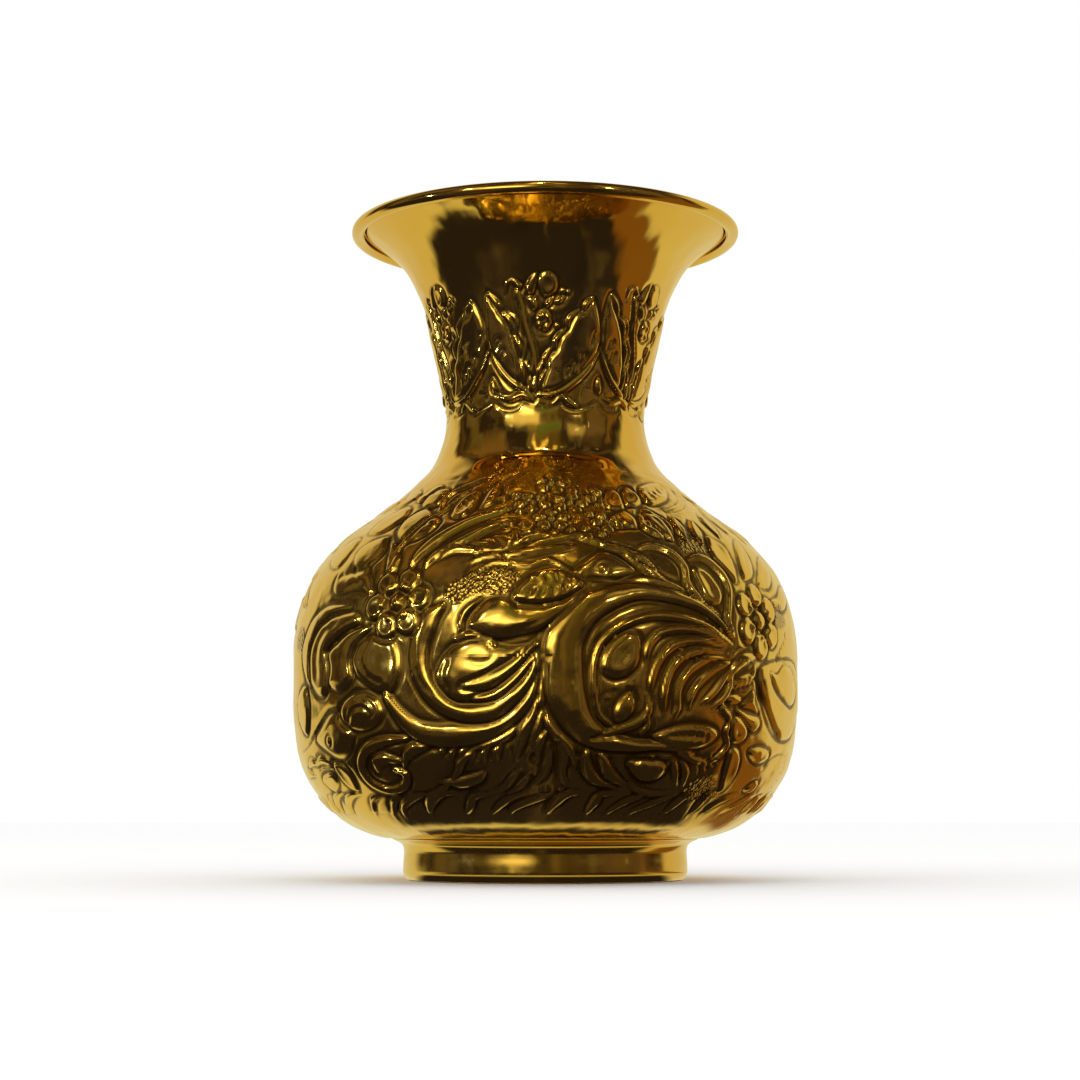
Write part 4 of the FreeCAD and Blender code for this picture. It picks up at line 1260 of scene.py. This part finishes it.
# Panels of the studio, painted reflections and glints on the dome:
# (place, half size, softness in degrees, colour), later ones on top
PANELS = (
    ((0, 90), (200, 24), 10, (0.07, 0.045, 0.02)),
    ((-85, 50), (32, 9), 6, (0.20, 0.13, 0.05)),
    ((-5, 38), (20, 14), 7, (0.30, 0.25, 0.10)),
    ((-27, 21), (19, 14), 6, (1.0, 0.88, 0.52)),
    ((-24, 15), (11, 6), 4, (3.4, 3.1, 2.1)),
    ((42, 42), (9, 7), 4, (0.50, 0.42, 0.25)),
    ((50, 0), (58, 6), 3, (0.030, 0.022, 0.018)),
    ((-90, 0), (28, 6), 3, (0.030, 0.022, 0.018)),
    ((-26, 5), (2, 5), 1.5, (0.95, 0.8, 0.45)),
    ((22, 10), (22, 24), 10, (0.075, 0.055, 0.035)),
    ((8, 16), (3, 20), 2, (0.17, 0.13, 0.06)),
    ((38, 14), (3, 24), 2, (0.14, 0.12, 0.06)),
    ((62, 16), (12, 30), 8, (0.15, 0.11, 0.06)),
    ((84, 10), (3, 30), 2, (0.20, 0.12, 0.05)),
    ((-92, 12), (7, 30), 4, (0.14, 0.11, 0.05)),
    ((-112, 20), (4, 34), 3, (0.09, 0.06, 0.03)),
    ((2, 42), (12, 6), 3, (0.12, 0.19, 0.05)),
    ((0, 60), (24, 12), 8, (0.12, 0.08, 0.03)),
    ((-10, 62), (3, 12), 2, (1.6, 1.2, 0.5)),
    ((12, 60), (5, 5), 2, (0.9, 0.7, 0.22)),
    ((-2, 76), (16, 3), 2, (0.9, 0.66, 0.2)),
)


def plain_material(name, colour):
    """A matt paint that mirrors nothing."""
    material, _, _, shader = new_material(name)
    shader.inputs["Base Color"].default_value = (*colour, 1)
    shader.inputs["Roughness"].default_value = 0.9
    shader.inputs["Specular IOR Level"].default_value = 0.0
    return material


def stage_mesh(name, points, faces, material):
    """A smooth surface that belongs to the stage and not to the pot."""
    mesh = bpy.data.meshes.new(name)
    mesh.from_pydata(points, [], faces)
    mesh.materials.append(material)
    mesh.shade_smooth()
    made = bpy.data.objects.new(name, mesh)
    bpy.context.scene.collection.objects.link(made)
    return made


def make_floor(colour):
    """A level floor, four metres each way."""
    side = 4.0
    return stage_mesh("floor", [(-side, -side, 0), (side, -side, 0), (side, side, 0),
                                (-side, side, 0)], [(0, 1, 2, 3)],
                      plain_material("pale_floor", colour))


def glow(name, points, faces, colours):
    """A surface that shines with its own colours, which only the polish mirrors."""
    material = bpy.data.materials.new(name)
    material.use_nodes = True
    nodes, links = material.node_tree.nodes, material.node_tree.links
    nodes.remove(next(n for n in nodes if n.type == "BSDF_PRINCIPLED"))
    light = nodes.new("ShaderNodeEmission")
    paint = add(nodes, "ShaderNodeAttribute", attribute_name="light")
    links.new(paint.outputs["Color"], light.inputs["Color"])
    links.new(light.outputs[0], nodes["Material Output"].inputs["Surface"])
    material.cycles.emission_sampling = "NONE"
    made = stage_mesh(name, points, faces, material)
    values = np.concatenate([colours, np.ones((len(colours), 1))], 1)
    made.data.attributes.new("light", "FLOAT_COLOR", "POINT").data.foreach_set(
        "color", values.ravel())
    for seen in ("camera", "diffuse", "shadow", "transmission"):
        setattr(made, "visible_" + seen, False)
    return made


def soft_spot(turn, tilt, place, size, soft):
    """1 inside an oblong of directions and 0 outside it, both ways eased over soft degrees."""
    across = 1 - ease(np.abs((turn - place[0] + 180) % 360 - 180), size[0] - soft, size[0] + soft)
    return across * (1 - ease(np.abs(tilt - place[1]), size[1] - soft, size[1] + soft))


def room_light(turn, tilt):
    """Colour of the studio in a direction: degrees round from the front, and up.

    Painted reflections: a bright card behind and beside the pot, and a dark painted
    reflection in front, with the painted panels on them.  The front half is sprinkled with
    dim oblong painted spots of random warm colours, which lighten only what is darker, and
    with a few bright painted glints, the sparkles.
    """
    colour = 0 * turn[..., None] + np.array(DARK_FRONT_REFLECTION)
    # painted reflection of a bright card behind and beside the pot, over the dark painted front
    painted_card = ease(np.where(turn > 0, turn, -turn - 26), 92, 106) * (1 - ease(tilt, 42, 56))
    colour = colour + painted_card[..., None] * (np.array(CARD_REFLECTION) - colour)
    for place, size, soft, shade in PANELS:
        share = soft_spot(turn, tilt, place, size, soft)[..., None]
        colour = colour + share * (np.array(shade) - colour)
    rng = np.random.default_rng(STUDIO_SEED)
    # dim painted reflections, which lighten only what is darker
    for _ in range(DIM_SPOTS):
        place = (rng.uniform(-100, 92), rng.uniform(-2, 74))
        size = (rng.uniform(1, 6), rng.uniform(2, 9))
        bright = rng.uniform(0.02, 0.11)
        shade = bright * np.array([1, rng.uniform(0.6, 0.95), rng.uniform(0.3, 0.95)])
        share = 0.8 * soft_spot(turn, tilt, place, size, 0.9)[..., None]
        colour = colour + share * np.maximum(shade - 0.5 * colour, 0)
    # bright painted glints
    for _ in range(SPARKLES):
        place = (rng.uniform(-60, 75), rng.uniform(2, 66))
        share = soft_spot(turn, tilt, place, (0.5, rng.uniform(0.4, 2.2)), 0.6)[..., None]
        colour = colour + share * (np.array(SPARKLE) - colour)
    return colour


def make_room_shell():
    """The studio as the polish sees it: a dome of painted reflections, coloured by direction, that
    only the polish mirrors.
    """
    radius = STUDIO_RADIUS
    turn, tilt = np.meshgrid(np.linspace(-180, 180, 361)[:-1], np.linspace(-6, 90, 97)[:-1])
    a, e = np.radians(turn), np.radians(tilt)
    points = radius * np.stack([np.sin(a) * np.cos(e), -np.cos(a) * np.cos(e), np.sin(e)], -1)
    points = np.concatenate([points.reshape(-1, 3), [[0, 0, radius]]])
    colours = np.concatenate([room_light(turn, tilt).reshape(-1, 3),
                              room_light(np.array([0.0]), np.array([90.0]))])
    rows, columns = turn.shape
    k, j = np.arange(rows - 1)[:, None], np.arange(columns)[None, :]
    after = (j + 1) % columns
    faces = np.stack([k * columns + j, (k + 1) * columns + j, (k + 1) * columns + after,
                      k * columns + after], -1).reshape(-1, 4).tolist()
    top, j, after = rows * columns, j[0], after[0]
    faces += np.stack([(rows - 1) * columns + j, 0 * j + top,
                       (rows - 1) * columns + after], 1).tolist()
    return glow("studio", points.tolist(), faces, colours)


def make_floor_reflection():
    """The floor as the polish sees it.

    Painted reflections that glow only for the polish: pale behind and at the sides, and in a
    narrow ring round the foot; in front a dark painted reflection with soft, faintly lighter
    patches of random place and size; at the right a painted brown strip.
    """
    turn, far = np.meshgrid(np.linspace(-180, 180, 181)[:-1],
                            np.concatenate([np.linspace(0.046, 0.078, 17),
                                            np.geomspace(0.08, FLOOR_REFLECTION_RADIUS, 40)]))
    a = np.radians(turn)
    points = np.stack([far * np.sin(a), -far * np.cos(a), 0 * a + 0.0004], -1)
    # painted pale reflection behind and at the sides, and a painted pale ring round the foot
    limit = 62 + 44 * ease(far, 0.10, 0.19)
    pale = ease(np.abs(turn + 2), limit - 6, limit + 6)
    pale = np.maximum(pale, ease(far, 0.057, 0.060) * (1 - ease(far, 0.062, 0.067)))[..., None]
    # painted dark reflection in front, with faint lighter painted patches
    rng = np.random.default_rng(DARK_REFLECTION_SEED)
    painted_dark_floor = np.array(DARK_FLOOR_REFLECTION) * (1 + 0 * turn[..., None])
    for _ in range(DARK_REFLECTION_PATCHES):
        across = np.exp(-((turn - rng.uniform(-80, 80)) / rng.uniform(2, 9)) ** 2)
        along = np.exp(-(np.log(far / rng.uniform(0.1, 2)) / rng.uniform(0.15, 0.6)) ** 2)
        patch = across * along * rng.uniform(-0.012, 0.07)
        painted_dark_floor += patch[..., None] * np.array([1, 0.75, 0.5])
    painted_dark_floor = np.maximum(painted_dark_floor, 0.008)
    colours = painted_dark_floor + pale * (np.array(PALE_FLOOR_REFLECTION) - painted_dark_floor)
    # painted brown strip of reflection at the right
    brown = (ease(turn, 62, 76) * (1 - ease(turn, 98, 108)) * ease(far, 0.067, 0.075))[..., None]
    colours = colours + brown * (np.array(BROWN_STRIP_REFLECTION) - colours)
    rows, columns = turn.shape
    k, j = np.arange(rows - 1)[:, None], np.arange(columns)[None, :]
    after = (j + 1) % columns
    faces = np.stack([k * columns + j, k * columns + after, (k + 1) * columns + after,
                      (k + 1) * columns + j], -1).reshape(-1, 4).tolist()
    return glow("painted_floor_reflection", points.reshape(-1, 3).tolist(), faces, colours.reshape(-1, 3))


def soft_lamp(name, place, aim, width, height, power, colour):
    """A small unseen lamp of the stage, width by height metres, aimed at a point."""
    lamp = bpy.data.lights.new(name, "AREA")
    lamp.shape, lamp.size, lamp.size_y = "RECTANGLE", width, height
    lamp.energy, lamp.color = power, colour
    made = bpy.data.objects.new(name, lamp)
    made.location = place
    away = np.subtract(place, aim)
    made.rotation_euler = (math.atan2(math.hypot(away[0], away[1]), away[2]), 0,
                           math.atan2(away[0], -away[1]))
    made.visible_camera = False
    bpy.context.scene.collection.objects.link(made)
    return made


def make_camera():
    """Level with the foot and looking a little up, as one looks at a pot on a shelf."""
    lens = bpy.data.cameras.new("camera")
    lens.sensor_width, lens.lens = 36.0, 78.26
    lens.clip_start, lens.clip_end = 0.01, 40
    made = bpy.data.objects.new("camera", lens)
    made.location = (-0.002, -0.8929, 0.0263)
    made.rotation_euler = (math.radians(90 + 6.55), 0, 0)
    bpy.context.scene.collection.objects.link(made)
    bpy.context.scene.camera = made


def make_room(brightness):
    """Even pale light from all round."""
    world = bpy.data.worlds.new("room")
    bpy.context.scene.world = world
    world.use_nodes = True
    sky = world.node_tree.nodes["Background"]
    sky.inputs["Color"].default_value = (1.0, 1.0, 1.0, 1)
    sky.inputs["Strength"].default_value = brightness
    bpy.context.scene.view_settings.view_transform = "Standard"


# ---------------------------------------------------------------- what a user may change

class PotSizes(bpy.types.PropertyGroup):
    """Sizes of the chased work."""
    body_relief: bpy.props.FloatProperty(
        name="Body relief", description="From the body's ground to its highest forms",
        default=0.0015, min=0.0, max=0.004, unit="LENGTH")
    neck_relief: bpy.props.FloatProperty(
        name="Neck relief", description="From the neck's ground to its highest forms",
        default=0.0013, min=0.0, max=0.003, unit="LENGTH")


class PotFinish(bpy.types.PropertyGroup):
    """Colours and polish of the brass."""
    clean: bpy.props.FloatVectorProperty(
        name="Clean brass", description="Colour of the polished brass", subtype="COLOR",
        size=4, min=0, max=1, default=(0.78, 0.52, 0.11, 1))
    warm: bpy.props.FloatVectorProperty(
        name="Warm brass", description="Colour of the brass in its warmer drifts",
        subtype="COLOR", size=4, min=0, max=1, default=(0.74, 0.45, 0.08, 1))
    tarnish: bpy.props.FloatVectorProperty(
        name="Tarnish", description="Colour of the browned hollows", subtype="COLOR",
        size=4, min=0, max=1, default=(0.10, 0.05, 0.01, 1))
    polish: bpy.props.FloatProperty(
        name="Polish", description="Roughness of the polished brass", subtype="FACTOR",
        default=0.115, min=0.02, max=0.6)
    browning: bpy.props.FloatProperty(
        name="Browning", description="How brown the hollows are", subtype="FACTOR",
        default=0.85, min=0, max=1)


class PotStage(bpy.types.PropertyGroup):
    """The floor and the light."""
    floor: bpy.props.FloatVectorProperty(
        name="Floor", description="Colour of the floor", subtype="COLOR", size=4,
        min=0, max=1, default=(0.97, 0.97, 0.97, 1))
    room: bpy.props.FloatProperty(
        name="Room light", description="Brightness of the even light", default=1.0,
        min=0, max=4)


# ---------------------------------------------------------------- operators

class POT_OT_body(bpy.types.Operator):
    """Builds the bowl, the shoulder and the braze in their seams"""
    bl_idname = "brass_pot.body"
    bl_label = "Bowl and shoulder"

    def execute(self, context):
        sizes, finish = context.scene.pot_sizes, context.scene.pot_finish
        outline, belt, seam = body_outline()
        sheet = body_sheet(outline, seam, sizes.body_relief / MM)
        metal = brass("chased_brass_body", finish, finish.polish, finish.browning, True)
        finish_piece(make_belly(outline, belt, sheet), metal)
        finish_piece(make_shoulder(outline, belt, seam, sheet), metal)
        finish_piece(make_braze("belt_braze", outline, belt, sheet), metal)
        finish_piece(make_braze("neck_braze", outline, seam, sheet), metal)
        return {"FINISHED"}


class POT_OT_neck(bpy.types.Operator):
    """Builds the neck with its rolled rim, and the wire in it"""
    bl_idname = "brass_pot.neck"
    bl_label = "Neck and rim"

    def execute(self, context):
        sizes, finish = context.scene.pot_sizes, context.scene.pot_finish
        outline, seam, centre, wire = neck_outline()
        sheet = neck_sheet(outline, seam, sizes.neck_relief / MM)
        metal = brass("chased_brass_neck", finish, finish.polish * 0.55, finish.browning, True)
        finish_piece(make_neck(outline, seam, centre, wire, sheet), metal)
        plain = brass("rim_wire_brass", finish, finish.polish * 1.6, 0.3, False)
        finish_piece(make_rim_wire(), plain)
        return {"FINISHED"}


class POT_OT_foot(bpy.types.Operator):
    """Builds the turned foot"""
    bl_idname = "brass_pot.foot"
    bl_label = "Foot"

    def execute(self, context):
        finish = context.scene.pot_finish
        metal = brass("foot_brass", finish, finish.polish, 0.15, False)
        finish_piece(make_foot(), metal)
        return {"FINISHED"}


class POT_OT_braze(bpy.types.Operator):
    """Gives the braze between foot and bowl its metal"""
    bl_idname = "brass_pot.braze"
    bl_label = "Foot seam"

    def execute(self, context):
        finish = context.scene.pot_finish
        metal = brass("braze_metal", finish, finish.polish * 1.2, 0.25, False)
        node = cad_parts["foot_braze"]
        node.data.materials.clear()
        node.data.materials.append(metal)
        return {"FINISHED"}


class POT_OT_stage(bpy.types.Operator):
    """Lays the floor and the painted reflections, and sets the studio's light and the camera"""
    bl_idname = "brass_pot.stage"
    bl_label = "Stage"

    def execute(self, context):
        look = context.scene.pot_stage
        make_floor(tuple(look.floor)[:3])
        make_room_shell()
        make_floor_reflection()
        middle = (0, 0, 0.13)
        soft_lamp("lamp_over", (-0.03, -0.45, 1.1), middle, 0.03, 0.03, 0.3, (1, 0.86, 0.5))
        soft_lamp("lamp_left", (-1.0, -1.0, 0.75), middle, 0.08, 0.08, 1.3, (1, 0.93, 0.72))
        soft_lamp("lamp_low", (-1.2, -0.5, 0.3), middle, 0.07, 0.1, 0.9, (0.9, 0.95, 1.0))
        soft_lamp("lamp_right", (0.8, -1.1, 0.6), middle, 0.06, 0.06, 0.8, (1, 0.9, 0.7))
        make_room(look.room)
        make_camera()
        return {"FINISHED"}


class POT_PT_panel(bpy.types.Panel):
    """Lists the pot's pieces and what may be changed on them"""
    bl_idname = "POT_PT_panel"
    bl_label = "Brass Pot"
    bl_space_type = "VIEW_3D"
    bl_region_type = "UI"
    bl_category = "Brass Pot"

    def draw(self, context):
        scene = context.scene
        for group in (scene.pot_sizes, scene.pot_finish, scene.pot_stage):
            box = self.layout.box()
            for label in group.__annotations__:
                box.prop(group, label)
        for step in STEPS:
            self.layout.operator(step.bl_idname)


STEPS = (POT_OT_body, POT_OT_neck, POT_OT_foot, POT_OT_braze, POT_OT_stage)
GROUPS = (("pot_sizes", PotSizes), ("pot_finish", PotFinish), ("pot_stage", PotStage))


def register():
    """Makes the settings, the operators and the panel known."""
    for _, group in GROUPS:
        bpy.utils.register_class(group)
    for name, group in GROUPS:
        setattr(bpy.types.Scene, name, bpy.props.PointerProperty(type=group))
    for made in (*STEPS, POT_PT_panel):
        bpy.utils.register_class(made)


def unregister():
    """Takes them away again."""
    for made in reversed((*STEPS, POT_PT_panel)):
        bpy.utils.unregister_class(made)
    for name, group in reversed(GROUPS):
        delattr(bpy.types.Scene, name)
        bpy.utils.unregister_class(group)


def main():
    """Runs every step."""
    register()
    for step in STEPS:
        family, name = step.bl_idname.split(".")
        getattr(getattr(bpy.ops, family), name)()


if __name__ == "__main__":
    main()
